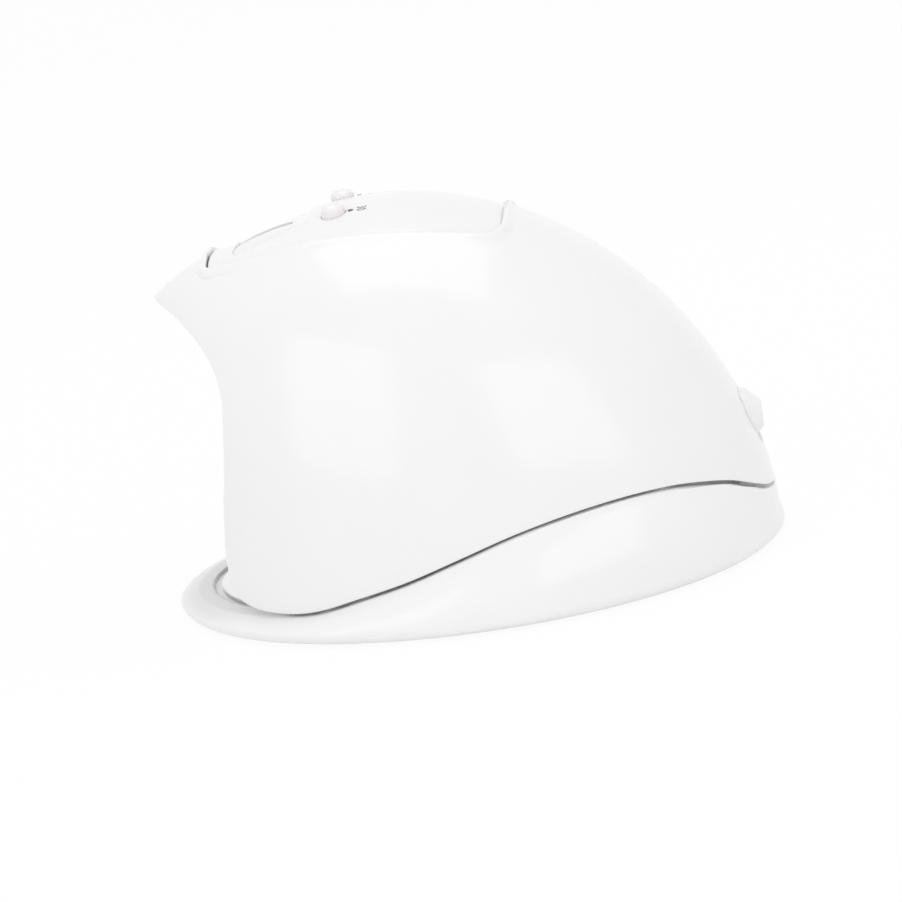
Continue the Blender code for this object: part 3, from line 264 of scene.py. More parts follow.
def inner_half(d_in, half_out, distance):
    """The edge's inner line at the same places, held at the inner dome's ends."""
    y, z = half_out[:, 1].copy(), half_out[:, 2].copy()
    limit = half_edge(d_in, distance, 400)
    for end, low in ((limit[0], True), (limit[-1], False)):
        beyond = (z > end[2]) & (y < end[1]) if low else (y > end[1])
        y[beyond], z[beyond] = end[1], end[2]
    x = side_at(d_in, y, z)
    x[(y == limit[0][1]) | (y == limit[-1][1])] = 0
    return np.column_stack([x, y, z])


def grid_object(name, grid, wrap_rows=True, caps=False):
    """A closed mesh from a loop of columns; the rows wrap too, or end in caps."""
    columns, rows = grid.shape[:2]
    verts = grid.reshape(-1, 3)
    faces = []
    for i in range(columns):
        j = (i + 1) % columns
        for k in range(rows if wrap_rows else rows - 1):
            m = (k + 1) % rows
            faces.append((i * rows + k, j * rows + k, j * rows + m, i * rows + m))
    if caps:
        faces.append(tuple(i * rows for i in range(columns)))
        faces.append(tuple(i * rows + rows - 1 for i in reversed(range(columns))))
    mesh = bpy.data.meshes.new(name)
    mesh.from_pydata([tuple(v) for v in verts], [], faces)
    bm = bmesh.new()
    bm.from_mesh(mesh)
    bmesh.ops.remove_doubles(bm, verts=bm.verts, dist=2e-6)
    bmesh.ops.dissolve_degenerate(bm, edges=bm.edges, dist=1e-6)
    bmesh.ops.recalc_face_normals(bm, faces=bm.faces)
    bm.to_mesh(mesh)
    bm.free()
    return finished(name, mesh)


def finished(name, mesh, sharp=40):
    """A smooth-shaded object of a mesh, in the scene."""
    obj = bpy.data.objects.new(name, mesh)
    bpy.context.collection.objects.link(obj)
    mesh.shade_smooth()
    mesh.set_sharp_from_angle(angle=math.radians(sharp))
    return obj


def turned(name, profile, steps=64):
    """A turned mesh about Z from a radius and height profile, with its ends on the axis."""
    bm = bmesh.new()
    verts = [bm.verts.new((r, 0, z)) for r, z in profile]
    edges = [bm.edges.new(pair) for pair in zip(verts, verts[1:])]
    bmesh.ops.spin(bm, geom=verts + edges, cent=(0, 0, 0), axis=(0, 0, 1), angle=2 * math.pi,
                   steps=steps)
    bmesh.ops.remove_doubles(bm, verts=bm.verts, dist=1e-6)
    bmesh.ops.dissolve_degenerate(bm, edges=bm.edges, dist=1e-6)
    bmesh.ops.recalc_face_normals(bm, faces=bm.faces)
    mesh = bpy.data.meshes.new(name)
    bm.to_mesh(mesh)
    bm.free()
    return finished(name, mesh, 32)


def place(obj, matrix):
    """Moves an object's mesh into place, so that the object stays at the origin."""
    obj.data.transform(matrix)
    return obj


def cut_by(obj, *tools):
    """Cuts each tool out of an object and deletes the tools."""
    for tool in tools:
        modifier = obj.modifiers.new("cut", "BOOLEAN")
        modifier.operation = "DIFFERENCE"
        modifier.solver = "EXACT"
        modifier.object = tool
    bake(obj)
    for tool in tools:
        bpy.data.objects.remove(tool)


def bake(obj):
    """Turns an object's modifiers into its mesh."""
    graph = bpy.context.evaluated_depsgraph_get()
    mesh = bpy.data.meshes.new_from_object(obj.evaluated_get(graph), depsgraph=graph)
    obj.modifiers.clear()
    obj.data = mesh


def bead_runs(length):
    """Row places: close together on the bead beside the panel, then even."""
    near = np.array([0, .25, .5, .8, 1.1, 1.45, 1.8, 2.2, 2.6, 3.2]) / 1000
    near = near * min(1, length / 0.009)
    return np.concatenate([near, np.linspace(near[-1], length, 62)[1:]])


def finish(name, dark, light, rough, scale=60, bump=0.02, metallic=0.0, coat=0.0,
           transmission=0.0):
    """A finish whose colour, gloss and relief vary a little over the surface."""
    made = bpy.data.materials.new(name)
    made.use_nodes = True
    tree = made.node_tree
    shader = tree.nodes["Principled BSDF"]
    place_node = tree.nodes.new("ShaderNodeTexCoord")
    cloud = tree.nodes.new("ShaderNodeTexNoise")
    cloud.inputs["Scale"].default_value = scale
    cloud.inputs["Detail"].default_value = 4
    tree.links.new(place_node.outputs["Object"], cloud.inputs["Vector"])
    tint = tree.nodes.new("ShaderNodeMix")
    tint.data_type = "RGBA"
    tint.inputs["A"].default_value = (*dark, 1)
    tint.inputs["B"].default_value = (*light, 1)
    tree.links.new(cloud.outputs["Fac"], tint.inputs["Factor"])
    tree.links.new(tint.outputs["Result"], shader.inputs["Base Color"])
    gloss = tree.nodes.new("ShaderNodeMapRange")
    gloss.inputs["To Min"].default_value = rough[0]
    gloss.inputs["To Max"].default_value = rough[1]
    tree.links.new(cloud.outputs["Fac"], gloss.inputs["Value"])
    tree.links.new(gloss.outputs["Result"], shader.inputs["Roughness"])
    if bump:
        grain = tree.nodes.new("ShaderNodeTexNoise")
        grain.inputs["Scale"].default_value = scale * 12
        tree.links.new(place_node.outputs["Object"], grain.inputs["Vector"])
        relief = tree.nodes.new("ShaderNodeBump")
        relief.inputs["Strength"].default_value = bump
        relief.inputs["Distance"].default_value = 0.0002
        tree.links.new(grain.outputs["Fac"], relief.inputs["Height"])
        tree.links.new(relief.outputs["Normal"], shader.inputs["Normal"])
    shader.inputs["Metallic"].default_value = metallic
    shader.inputs["Coat Weight"].default_value = coat
    shader.inputs["Coat Roughness"].default_value = 0.04
    shader.inputs["Transmission Weight"].default_value = transmission
    return made


def paint(obj, material):
    """Gives an object one finish."""
    obj.data.materials.clear()
    obj.data.materials.append(material)


GLOSS = finish("white_gloss_moulding", (0.87, 0.87, 0.87), (0.90, 0.90, 0.90), (0.13, 0.19), 40,
               0.008, 0, 0.12)
LIP_RADIUS = 0.0011
EDGE_COUNT = 190
BEAD_CREST = 0.0011
BEAD_FALL = 0.0024
BEAD_RISE = 0.00055
INLET_SEAT = Matrix.Translation((0, 0.0972, 0.038)) @ Matrix.Rotation(-math.pi / 2, 4, "X")
outer = shell_dome(0)
edge_half = half_edge(outer, 0, EDGE_COUNT)
inner = shell_dome(SHELL_WALL)
inner_edge = inner_half(inner, edge_half, 0)
bearing = bearings(edge_half)
panel_hole = panel_loop(0)
rim_half = rim_at(panel_hole, bearing)
rim_half[0, 0] = rim_half[-1, 0] = 0

edge_loop = both_sides(edge_half)
inner_loop = both_sides(inner_edge)
along = unit(np.roll(edge_loop, -1, 0) - np.roll(edge_loop, 1, 0))
normal = dome_normal(outer, edge_loop)
inward = unit(np.cross(normal, along))
inward *= np.sign(np.sum(inward * (np.array([0, CROWN_Y, SHELL_HEIGHT]) - edge_loop), 1))[:, None]
across = inner_loop - edge_loop
wall = np.linalg.norm(across, axis=1)
across = unit(across)
lip = np.minimum(LIP_RADIUS, wall * 0.42)
lip_rows = rounded(edge_loop, inward, across, lip, 8)
eased_half = lip_rows[:EDGE_COUNT, 0].copy()
eased_half[:, 2] = np.minimum(eased_half[:, 2], crown_at(outer, eased_half[:, 1]))
eased_half[:, 0] = side_at(outer, eased_half[:, 1], eased_half[:, 2])
eased_half[0, 0] = eased_half[-1, 0] = 0
skin_half = skin(outer, eased_half, rim_half, bead_runs)
spread = np.sqrt(((skin_half[:, :12, None, :2] - panel_hole[None, None]) ** 2).sum(-1)).min(-1)
hill = np.where(spread < BEAD_CREST, 1 - 0.5 * ((BEAD_CREST - spread) / BEAD_CREST) ** 2,
                (1 - np.clip((spread - BEAD_CREST) / BEAD_FALL, 0, 1) ** 2) ** 2)
ends = np.abs(skin_half[:, :1, 1] - (PANEL_FRONT + PANEL_LENGTH * 0.5)) / (PANEL_LENGTH / 2)
rise = BEAD_RISE + BEAD_RISE * np.clip((ends - 0.72) / 0.26, 0, 1) ** 1.5
skin_half[:, :12] += dome_normal(outer, skin_half[:, :12]) * (hill * rise)[..., None]
skin_rows = np.concatenate([skin_half, skin_half[-2:0:-1] * np.array([-1, 1, 1])])
rim_top = skin_rows[:, 0]
rim_bottom = rim_top - np.array([0, 0, 0.0026])
rim_wall = np.stack([rim_bottom, (rim_bottom + 2 * rim_top) / 3, rim_top - [0, 0, 0.0003]], 1)
back_half = skin(inner, inner_edge, rim_half, lambda length: np.linspace(0, length, 24))
back_rows = np.concatenate([back_half, back_half[-2:0:-1] * np.array([-1, 1, 1])])
lip_inside = rounded(inner_loop, -across, unit(back_rows[:, -2] - inner_loop), lip * 0.5, 5)
lip_inside[wall < 0.0005] = inner_loop[wall < 0.0005][:, None]
head_shell = grid_object("shell_moulding", np.concatenate(
    [rim_wall, skin_rows, lip_rows[:, 1:], lip_inside, back_rows[:, -2:0:-1]], 1))
INLET_HOLE_RADIUS = 0.0091
inlet_hole = place(turned("inlet_hole", [(0, 0.012), (INLET_HOLE_RADIUS, 0.012),
                                         (INLET_HOLE_RADIUS, -0.026), (0, -0.026)]), INLET_SEAT)
cut_by(head_shell, inlet_hole)
paint(head_shell, GLOSS)
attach(head_shell, "head")
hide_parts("head_shell")

# One oval moulding in the same white: a thin front apron, a raised hollow wall at the sides and
# rear that follows the seam, a soft crease round its flank and a flat floor.

BASE_LENGTH = 0.200
BASE_WIDTH = 0.163
FOOT_HEIGHT = 0.0009
BELT_HEIGHT = 0.0038
FRONT_RIM_HEIGHT = 0.0066
SEAM_GAP = 0.0009
TRAY_WIDTH = 0.127
TRAY_FRONT = -BASE_LENGTH / 2 + 0.0113
TRAY_REAR = BASE_LENGTH / 2 - 0.0140
TRAY_FLOOR = 0.0055
TRAY_WALL = 0.0018
SEAM_PATH = smooth_path([(SHELL_CENTRE_Y + y * SHELL_LENGTH / 2, z * SHELL_HEIGHT)
                         for y, z in EDGE_SHARES[17:]], 20)


def seam_height(y):
    """The height of the head's seam over a place along the base, eased to level in front."""
    start = SEAM_PATH[0]
    share = min(max((y + BASE_LENGTH / 2) / (start[0] + BASE_LENGTH / 2), 0), 1)
    level = FRONT_RIM_HEIGHT + SEAM_GAP
    ahead = level + (start[1] - level) * share ** 3
    return ahead if y <= start[0] else float(np.interp(y, SEAM_PATH[:, 0], SEAM_PATH[:, 1]))


def reach_at(d, heading, z):
    """How far from the origin the dome is in a plan direction, at height z."""
    near, far = 0.0, SHELL_LENGTH
    for _ in range(34):
        middle = (near + far) / 2
        x, y = heading[0] * middle, heading[1] * middle
        inside = abs(y - d["c"]) < d["l"] and float(height_at(d, x, y)) > z
        near, far = (middle, far) if inside else (near, middle)
    return near


def tray_reach(heading):
    """How far from the origin the tray's inner wall is."""
    centre, a, b = (TRAY_FRONT + TRAY_REAR) / 2, (TRAY_REAR - TRAY_FRONT) / 2, TRAY_WIDTH / 2
    x, y = heading
    square = (x / b) ** 2 + (y / a) ** 2
    half = y * centre / a ** 2
    return (half + math.sqrt(half ** 2 - square * ((centre / a) ** 2 - 1))) / square


def tray_section(angle):
    """One section of the tray, from its foot up the outside, over the rim and to the middle."""
    x, y = BASE_WIDTH / 2 * math.cos(angle), BASE_LENGTH / 2 * math.sin(angle)
    reach = math.hypot(x, y)
    heading = (x / reach, y / reach)
    bottom = FOOT_HEIGHT + CLEARANCE
    rim_reach = reach
    for _ in range(5):
        rim = seam_height(heading[1] * rim_reach) - SEAM_GAP
        rim_reach = min(reach_at(outer, heading, rim), reach - CLEARANCE * 2)
    within = tray_reach(heading)
    crease = BELT_HEIGHT + (rim - BELT_HEIGHT) * 0.36
    crease_reach = reach - CLEARANCE * 3
    bulge = crease_reach + (rim_reach - crease_reach) * 0.42
    flank = [(reach * 0.981 - 0.002, bottom - 0.0005), (reach * 0.981, bottom),
             (reach * 0.9935, bottom + 0.0012), (reach, BELT_HEIGHT), (crease_reach, crease),
             (bulge, crease + (rim - crease) * 0.55), (rim_reach, rim),
             (rim_reach - 0.0004, rim + 0.002)]
    path = smooth_path(flank, 8)
    edge = min(0.0009, (rim - crease) * 0.4, (rim_reach - within) * 0.3)
    path = path[path[:, 1] < rim - edge]
    lean = unit(path[-1] - np.array([rim_reach, rim]))
    rim_a = rounded(np.array([[rim_reach, rim]]), lean[None], np.array([[-1.0, 0]]), edge, 6)[0]
    rim_b = rounded(np.array([[within, rim]]), np.array([[1.0, 0]]), np.array([[0, -1.0]]),
                    edge, 6)[0]
    foot = rounded(np.array([[within - 0.0002, TRAY_FLOOR]]), np.array([[0, 1.0]]),
                   np.array([[-1.0, 0]]), min(0.0015, (rim - TRAY_FLOOR) * 0.7), 5)[0]
    under, roof = TRAY_FLOOR - 0.002, max(rim - TRAY_WALL, TRAY_FLOOR - 0.0017)
    near = within + TRAY_WALL
    wide = max(rim_reach - TRAY_WALL, near + CLEARANCE)
    inside = [(0.012, TRAY_FLOOR), (0.0, TRAY_FLOOR), (0.0, under), (near, under), (near, roof),
              (wide, roof), (reach - TRAY_WALL * 2, BELT_HEIGHT - CLEARANCE * 2),
              (reach - 0.0042, bottom)]
    section = np.concatenate([path, rim_a, rim_b, foot, inside])
    return np.column_stack([heading[0] * section[:, 0], heading[1] * section[:, 0], section[:, 1]])


def even(section, rows, keep):
    """A section's outer rows spread evenly, so that every section has as many."""
    return np.concatenate([spaced(section[:-keep], rows), section[-keep:]])


tray_angles = [2 * math.pi * i / 288 for i in range(288)]
base_tray = grid_object("tray_moulding", np.stack(
    [even(tray_section(a), 48, 8) for a in tray_angles]))
paint(base_tray, GLOSS)
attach(base_tray, "base")
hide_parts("base_tray")

# The bright metallised dome inside the head, with a flange just inside the shell's lip. The
# light beads and the two sensors look through round holes in it.

REFLECTOR_WIDTH = 0.128
REFLECTOR_HEIGHT = 0.102
REFLECTOR_REAR_GAP = 0.0135
REFLECTOR_WALL = 0.0018
FLANGE_SETBACK = 0.0011
FLANGE_HEIGHT = 0.002
BEAD_HOLE_RADIUS = 0.0029
SENSOR_HOLE_RADIUS = 0.0025


def reflector_dome(inset):
    """The reflector's outer surface, drawn in by the inset."""
    return dome(REFLECTOR_WIDTH - 2 * inset, SHELL_FRONT, SHELL_REAR - REFLECTOR_REAR_GAP - inset,
                REFLECTOR_HEIGHT - inset)


MIRROR = finish("metallised_lining", (0.80, 0.80, 0.82), (0.86, 0.86, 0.88), (0.08, 0.16), 50,
                0.04, 0.95)
lining = reflector_dome(REFLECTOR_WALL)
lining_half = half_edge(lining, FLANGE_SETBACK, 150)
lining_bearing = bearings(lining_half)
pole = np.column_stack([0.0006 * np.sin(lining_bearing),
                        CROWN_Y - 0.0006 * np.cos(lining_bearing)])
lining_skin = skin(lining, lining_half, pole, lambda length: np.linspace(0, length, 60))
behind = reflector_dome(0)
behind_half = half_edge(behind, FLANGE_SETBACK + FLANGE_HEIGHT, 150)
behind_skin = skin(behind, behind_half, pole, lambda length: np.linspace(0, length, 24))
housing = shell_dome(SHELL_WALL + CLEARANCE)
flange_low = half_edge(housing, FLANGE_SETBACK, 150)
flange_high = half_edge(housing, FLANGE_SETBACK + FLANGE_HEIGHT, 150)
flange = np.concatenate([lining_skin, flange_low[:, None], flange_high[:, None],
                         behind_skin[:, ::-1]], 1)
flange_loop = np.concatenate([flange, flange[-2:0:-1] * np.array([-1, 1, 1])])
reflector = grid_object("reflector_lining", flange_loop, False, True)
bead_seats = []
for share in (-0.42, 0.02, 0.40):
    row_y = SHELL_CENTRE_Y + share * SHELL_LENGTH / 2
    for i in range(4):
        spot = dome_point(behind, np.float64(row_y), np.float64(math.pi * (0.22 + 0.56 * i / 3)))
        bead_seats.append((Vector(spot), -Vector(dome_normal(behind, spot))))
sensor_seats = []
for turn in (math.pi * 0.1, math.pi * 0.9):
    spot = dome_point(behind, np.float64(SHELL_CENTRE_Y - 0.5 * SHELL_LENGTH / 2), np.float64(turn))
    sensor_seats.append((Vector(spot), -Vector(dome_normal(behind, spot))))


def facing(spot, direction):
    """A place with its Z along a direction."""
    return Matrix.Translation(spot) @ direction.to_track_quat("Z", "Y").to_matrix().to_4x4()


holes = []
for seats, radius in ((bead_seats, BEAD_HOLE_RADIUS), (sensor_seats, SENSOR_HOLE_RADIUS)):
    for spot, direction in seats:
        tool = turned("way", [(0, -0.004), (radius, -0.004), (radius, 0.0055), (0, 0.0055)], 32)
        holes.append(place(tool, facing(spot, direction)))
cut_by(reflector, *holes)
paint(reflector, MIRROR)
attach(reflector, "head")
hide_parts("inner_reflector")

# The egg-shaped insert in the crown, sunk a little below the bead round it, in the same white.
# Its front third dips to a display window, and the key deck behind it stands a step higher.

PANEL_SINK = 0.0006
PANEL_GAP = 0.00007
BUTTON_Y = PANEL_FRONT + 0.45 * PANEL_LENGTH
BUTTON_X = 0.0145
WINDOW_Y = PANEL_FRONT + 0.19 * PANEL_LENGTH


def ease(low, high, value):
    """A soft step from 0 to 1."""
    t = np.clip((value - low) / (high - low), 0, 1)
    return t * t * (3 - 2 * t)


def dip_at(x, y):
    """How deep the display's recess is below the panel's skin."""
    length = 1 - ease(WINDOW_Y + 0.0125, WINDOW_Y + 0.0175, y)
    front = ease(PANEL_FRONT + 0.0004, PANEL_FRONT + 0.0050, y)
    side = 1 - ease(0.0150, 0.0205, np.abs(x))
    return 0.0017 * length * front * side


panel_edge = spaced(np.concatenate([panel_loop(-PANEL_GAP), panel_loop(-PANEL_GAP)[:1]]), 321)[:-1]
panel_middle = np.array([0, PANEL_FRONT + PANEL_LENGTH * 0.5])
shares = np.concatenate([[0.01], np.linspace(0.03, 0.985, 64), [0.992, 0.997, 1.0]])
spots = panel_middle + (panel_edge - panel_middle)[:, None] * shares[None, :, None]
dip = dip_at(spots[..., 0], spots[..., 1])
top = height_at(outer, spots[..., 0], spots[..., 1]) - PANEL_SINK - dip
top[:, -3:] -= np.array([0.00006, 0.00018, 0.00045])
under = height_at(shell_dome(0.0030), spots[..., 0], spots[..., 1]) - dip
panel_rows = np.concatenate([np.dstack([spots, top]), np.dstack([spots, under])[:, ::-1]], 1)
panel = grid_object("panel_insert", panel_rows, False, True)


def bar(name, radius, x, y, low, high, steps=64):
    """An upright round bar for cutting."""
    return place(turned(name, [(0, high), (radius, high), (radius, low), (0, low)], steps),
                 Matrix.Translation((x, y, 0)))


PIPE_Y = BUTTON_Y + 0.00385 * 1.1 + 0.0007 + CLEARANCE * 2


def window_outline(half_x, half_y, corner):
    """A rounded rectangle round the display's middle."""
    points = []
    for quarter, (sx, sy) in enumerate(((1, 1), (-1, 1), (-1, -1), (1, -1))):
        for k in range(9):
            angle = (quarter + k / 8) * math.pi / 2
            points.append((sx * (half_x - corner) + corner * math.cos(angle),
                           WINDOW_Y + sy * (half_y - corner) + corner * math.sin(angle)))
    return np.array(points)


def crown_slab(name, outline, inset_top, inset_low, follow_dip, crown=0.0, rows=14):
    """A slab under the crown's surface, following it between two depths."""
    middle = outline.mean(0)
    steps = np.linspace(0.02, 1, rows)
    flat = middle + (outline - middle)[:, None] * steps[None, :, None]
    x, y = flat[..., 0], flat[..., 1]
    dip = dip_at(x, y) * follow_dip
    high = height_at(outer, x, y) - inset_top - dip + crown * (1 - steps ** 4)
    low = height_at(outer, x, y) - inset_low - dip
    high[:, -1] -= min(0.00015, (inset_low - inset_top) / 4)
    return grid_object(name, np.concatenate([np.dstack([flat, high]),
                                             np.dstack([flat, low])[:, ::-1]], 1), False, True)


tools = [crown_slab("window_way", window_outline(0.0130, 0.0100, 0.0040), -0.004, 0.006, 1.0)]
for side in (1, -1):
    tools.append(bar("key_way", 0.00415, side * BUTTON_X, BUTTON_Y, 0.110, 0.135))
    tools.append(bar("pipe_way", 0.0010, side * BUTTON_X, PIPE_Y, 0.110, 0.135, 24))
cut_by(panel, *tools)
paint(panel, GLOSS)
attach(panel, "head")
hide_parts("control_panel")

# A slightly crowned plastic pane in the recess, over the digit display. It is pale like the panel,
# with a dark rounded bar painted across its middle.

# Near black inside a rounded bar about 6 by 18 mm across the pane's middle, pale grey round it.
DARK_BAR_PANE_FINISH = finish("dark_bar_window_pane", (0.010, 0.010, 0.012), (0.018, 0.018, 0.021), (0.05, 0.08),
                40, 0, 0, 0.5)
tree = DARK_BAR_PANE_FINISH.node_tree
tree.nodes["Principled BSDF"].inputs["Transmission Weight"].default_value = 0
where = tree.nodes.new("ShaderNodeTexCoord")
middle = tree.nodes.new("ShaderNodeVectorMath")
middle.operation = "SUBTRACT"
middle.inputs[1].default_value = (0, WINDOW_Y + 0.0004, 0)
tree.links.new(where.outputs["Object"], middle.inputs[0])
reach = tree.nodes.new("ShaderNodeVectorMath")
reach.operation = "DIVIDE"
reach.inputs[1].default_value = (0.0031, 0.0092, 1e3)
tree.links.new(middle.outputs[0], reach.inputs[0])
power = tree.nodes.new("ShaderNodeVectorMath")
power.operation = "MULTIPLY"
square = tree.nodes.new("ShaderNodeVectorMath")
square.operation = "MULTIPLY"
tree.links.new(reach.outputs[0], square.inputs[0])
tree.links.new(reach.outputs[0], square.inputs[1])
tree.links.new(square.outputs[0], power.inputs[0])
tree.links.new(square.outputs[0], power.inputs[1])
total = tree.nodes.new("ShaderNodeVectorMath")
total.operation = "DOT_PRODUCT"
total.inputs[1].default_value = (1, 1, 0)
tree.links.new(power.outputs[0], total.inputs[0])
bar_edge = tree.nodes.new("ShaderNodeMapRange")
bar_edge.inputs["From Min"].default_value = 0.92
bar_edge.inputs["From Max"].default_value = 1.08
tree.links.new(total.outputs["Value"], bar_edge.inputs["Value"])
pale = tree.nodes.new("ShaderNodeMix")
pale.data_type = "RGBA"
tree.links.new(bar_edge.outputs["Result"], pale.inputs["Factor"])
base_colour = tree.nodes["Principled BSDF"].inputs["Base Color"]
tree.links.new(base_colour.links[0].from_socket, pale.inputs["A"])
pale.inputs["B"].default_value = (0.86, 0.86, 0.86, 1)
tree.links.new(pale.outputs["Result"], base_colour)
window = crown_slab("dark_bar_pane", window_outline(0.01285, 0.00985, 0.00385), 0.0007, 0.0024, 1.0,
                    0.0001)
paint(window, DARK_BAR_PANE_FINISH)
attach(window, "head")
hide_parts("display_window")

# Two domed caps of milky white plastic that stand 3.4 mm out of the deck, each on its switch.

KEY_RADIUS = 0.00385
KEY_HEIGHT = 0.0034
KEY_DOME = 0.0023
MILKY = finish("milky_caps", (0.88, 0.85, 0.855), (0.91, 0.885, 0.89), (0.16, 0.24), 120, 0.02, 0,
               0.2)
depth = MILKY.node_tree.nodes["Principled BSDF"].inputs
depth["Subsurface Weight"].default_value = 0.25
depth["Subsurface Radius"].default_value = (0.003, 0.002, 0.002)
key_surface = float(height_at(shell_dome(PANEL_SINK), BUTTON_X, BUTTON_Y))
key_top = key_surface + KEY_HEIGHT
for side, name in ((1, "right"), (-1, "left")):
    crown_line = [(KEY_RADIUS * math.sin(a) ** 0.9, key_top - KEY_DOME + KEY_DOME * math.cos(a))
                  for a in np.linspace(0, math.pi / 2 - 0.02, 18)]
    low = key_surface - 0.0022
    profile = crown_line + [(0.00387, key_top - 0.0025), (KEY_RADIUS, low + 0.0004),
                            (0.0045, low + 0.0003), (0.0045, low - 0.0006), (0, low - 0.0006)]
    cap = place(turned(f"key_cap_{name}", profile, 72),
                Matrix.Translation((side * BUTTON_X, BUTTON_Y, 0)))
    paint(cap, MILKY)
    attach(cap, f"button_{name}")
    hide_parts(f"timer_button_{name}")

# The plain minutes behind each key's light, printed in grey on the deck: a film of ink
# 0.02 mm thick that follows the crown.

INK_THICKNESS = 0.00002
INK = finish("grey_ink", (0.10, 0.10, 0.11), (0.16, 0.16, 0.17), (0.4, 0.5), 400, 0)
for side, words in ((1, "30"), (-1, "60")):
    curve = bpy.data.curves.new("figures", "FONT")
    curve.body = words
    curve.size = 0.0042
    curve.align_x = "CENTER"
    curve.align_y = "BOTTOM"
    curve.extrude = INK_THICKNESS
    curve.resolution_u = 3
    source = bpy.data.objects.new("figures", curve)
    bpy.context.collection.objects.link(source)
    graph = bpy.context.evaluated_depsgraph_get()
    mesh = bpy.data.meshes.new_from_object(source.evaluated_get(graph), depsgraph=graph)
    bpy.data.objects.remove(source)
    for vert in mesh.vertices:
        x, y = vert.co.x + side * BUTTON_X, vert.co.y + PIPE_Y + 0.0013
        deck = float(height_at(outer, x, y)) - PANEL_SINK - float(dip_at(x, y))
        vert.co = (x, y, deck + INK_THICKNESS + vert.co.z)
    figure = finished(f"minutes_{words}", mesh)
    paint(figure, INK)
    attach(figure, "head")

# The twelve light beads behind the reflector's holes, the four rubber feet and the cover's four
# screws. Each kind comes from one Geometry Nodes tree: a point for every place, turned to its
# seat, and one small form with named sizes.


def node_tree(name, sizes):
    """A Geometry Nodes tree with geometry in and out and named sizes."""
    tree = bpy.data.node_groups.new(name, "GeometryNodeTree")
    tree.interface.new_socket("Geometry", in_out="INPUT", socket_type="NodeSocketGeometry")
    for label, value in sizes.items():
        socket = tree.interface.new_socket(label, in_out="INPUT", socket_type="NodeSocketFloat")
        socket.default_value = value
    tree.interface.new_socket("Geometry", in_out="OUTPUT", socket_type="NodeSocketGeometry")
    return tree, tree.nodes.new("NodeGroupInput"), tree.nodes.new("NodeGroupOutput")


def add(tree, kind, links=(), **settings):
    """A node, its settings, and links from other nodes' sockets to its inputs."""
    node = tree.nodes.new(kind)
    for key, value in settings.items():
        if key.startswith("in_"):
            node.inputs[key[3:].replace("_", " ")].default_value = value
        else:
            setattr(node, key, value)
    for source, target in links:
        tree.links.new(source, node.inputs[target])
    return node


def scatter(name, seats, sizes, form, material, sharp=35):
    """Puts a form on every seat by a node tree and returns it as one mesh."""
    mesh = bpy.data.meshes.new(name)
    mesh.from_pydata([tuple(spot) for spot, _ in seats], [], [])
    mesh.attributes.new("aim", "FLOAT_VECTOR", "POINT")
    mesh.attributes["aim"].data.foreach_set("vector", [v for _, aim in seats for v in aim])
    obj = bpy.data.objects.new(name, mesh)
    bpy.context.collection.objects.link(obj)
    tree, given, result = node_tree(name + "_nodes", sizes)
    shape = form(tree, given)
    aim = add(tree, "GeometryNodeInputNamedAttribute", data_type="FLOAT_VECTOR", in_Name="aim")
    turn = add(tree, "FunctionNodeAlignRotationToVector", [(aim.outputs[0], "Vector")], axis="Z")
    spread = add(tree, "GeometryNodeInstanceOnPoints", [
        (given.outputs["Geometry"], "Points"), (shape, "Instance"), (turn.outputs[0], "Rotation")])
    real = add(tree, "GeometryNodeRealizeInstances", [(spread.outputs[0], "Geometry")])
    painted = add(tree, "GeometryNodeSetMaterial", [(real.outputs[0], "Geometry")])
    painted.inputs["Material"].default_value = material
    tree.links.new(painted.outputs[0], result.inputs[0])
    modifier = obj.modifiers.new("nodes", "NODES")
    modifier.node_group = tree
    for item in tree.interface.items_tree:
        if item.in_out == "INPUT" and item.name in sizes:
            modifier[item.identifier] = sizes[item.name]
    bake(obj)
    obj.data.shade_smooth()
    obj.data.set_sharp_from_angle(angle=math.radians(sharp))
    return obj


def bead_form(tree, given):
    """A round body with a domed lens on it."""
    body = add(tree, "GeometryNodeMeshCylinder", [(given.outputs["Radius"], "Radius"),
                                                  (given.outputs["Body"], "Depth")], in_Vertices=32)
    half = add(tree, "ShaderNodeMath", [(given.outputs["Body"], 0)], operation="MULTIPLY")
    half.inputs[1].default_value = 0.5
    lift = add(tree, "ShaderNodeCombineXYZ", [(half.outputs[0], "Z")])
    seated = add(tree, "GeometryNodeTransform", [(body.outputs[0], "Geometry"),
                                                 (lift.outputs[0], "Translation")])
    ball = add(tree, "GeometryNodeMeshUVSphere", [(given.outputs["Radius"], "Radius")],
               in_Segments=32, in_Rings=16)
    top = add(tree, "ShaderNodeCombineXYZ", [(given.outputs["Body"], "Z")])
    lens = add(tree, "GeometryNodeTransform", [(ball.outputs[0], "Geometry"),
                                               (top.outputs[0], "Translation")])
    lens.inputs["Scale"].default_value = (0.97, 0.97, 0.7)
    both = add(tree, "GeometryNodeJoinGeometry", [(seated.outputs[0], 0), (lens.outputs[0], 0)])
    return both.outputs[0]


LENS = finish("clear_lens", (0.84, 0.83, 0.90), (0.90, 0.89, 0.95), (0.04, 0.08), 200, 0, 0, 0.3,
              0.5)
beads = scatter("light_beads", bead_seats, {"Radius": 0.0026, "Body": 0.0028}, bead_form, LENS)
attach(beads, "head")
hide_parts(*[f"led_bead_{row}_{k}" for row in (1, 2, 3) for k in (1, 2, 3, 4)])


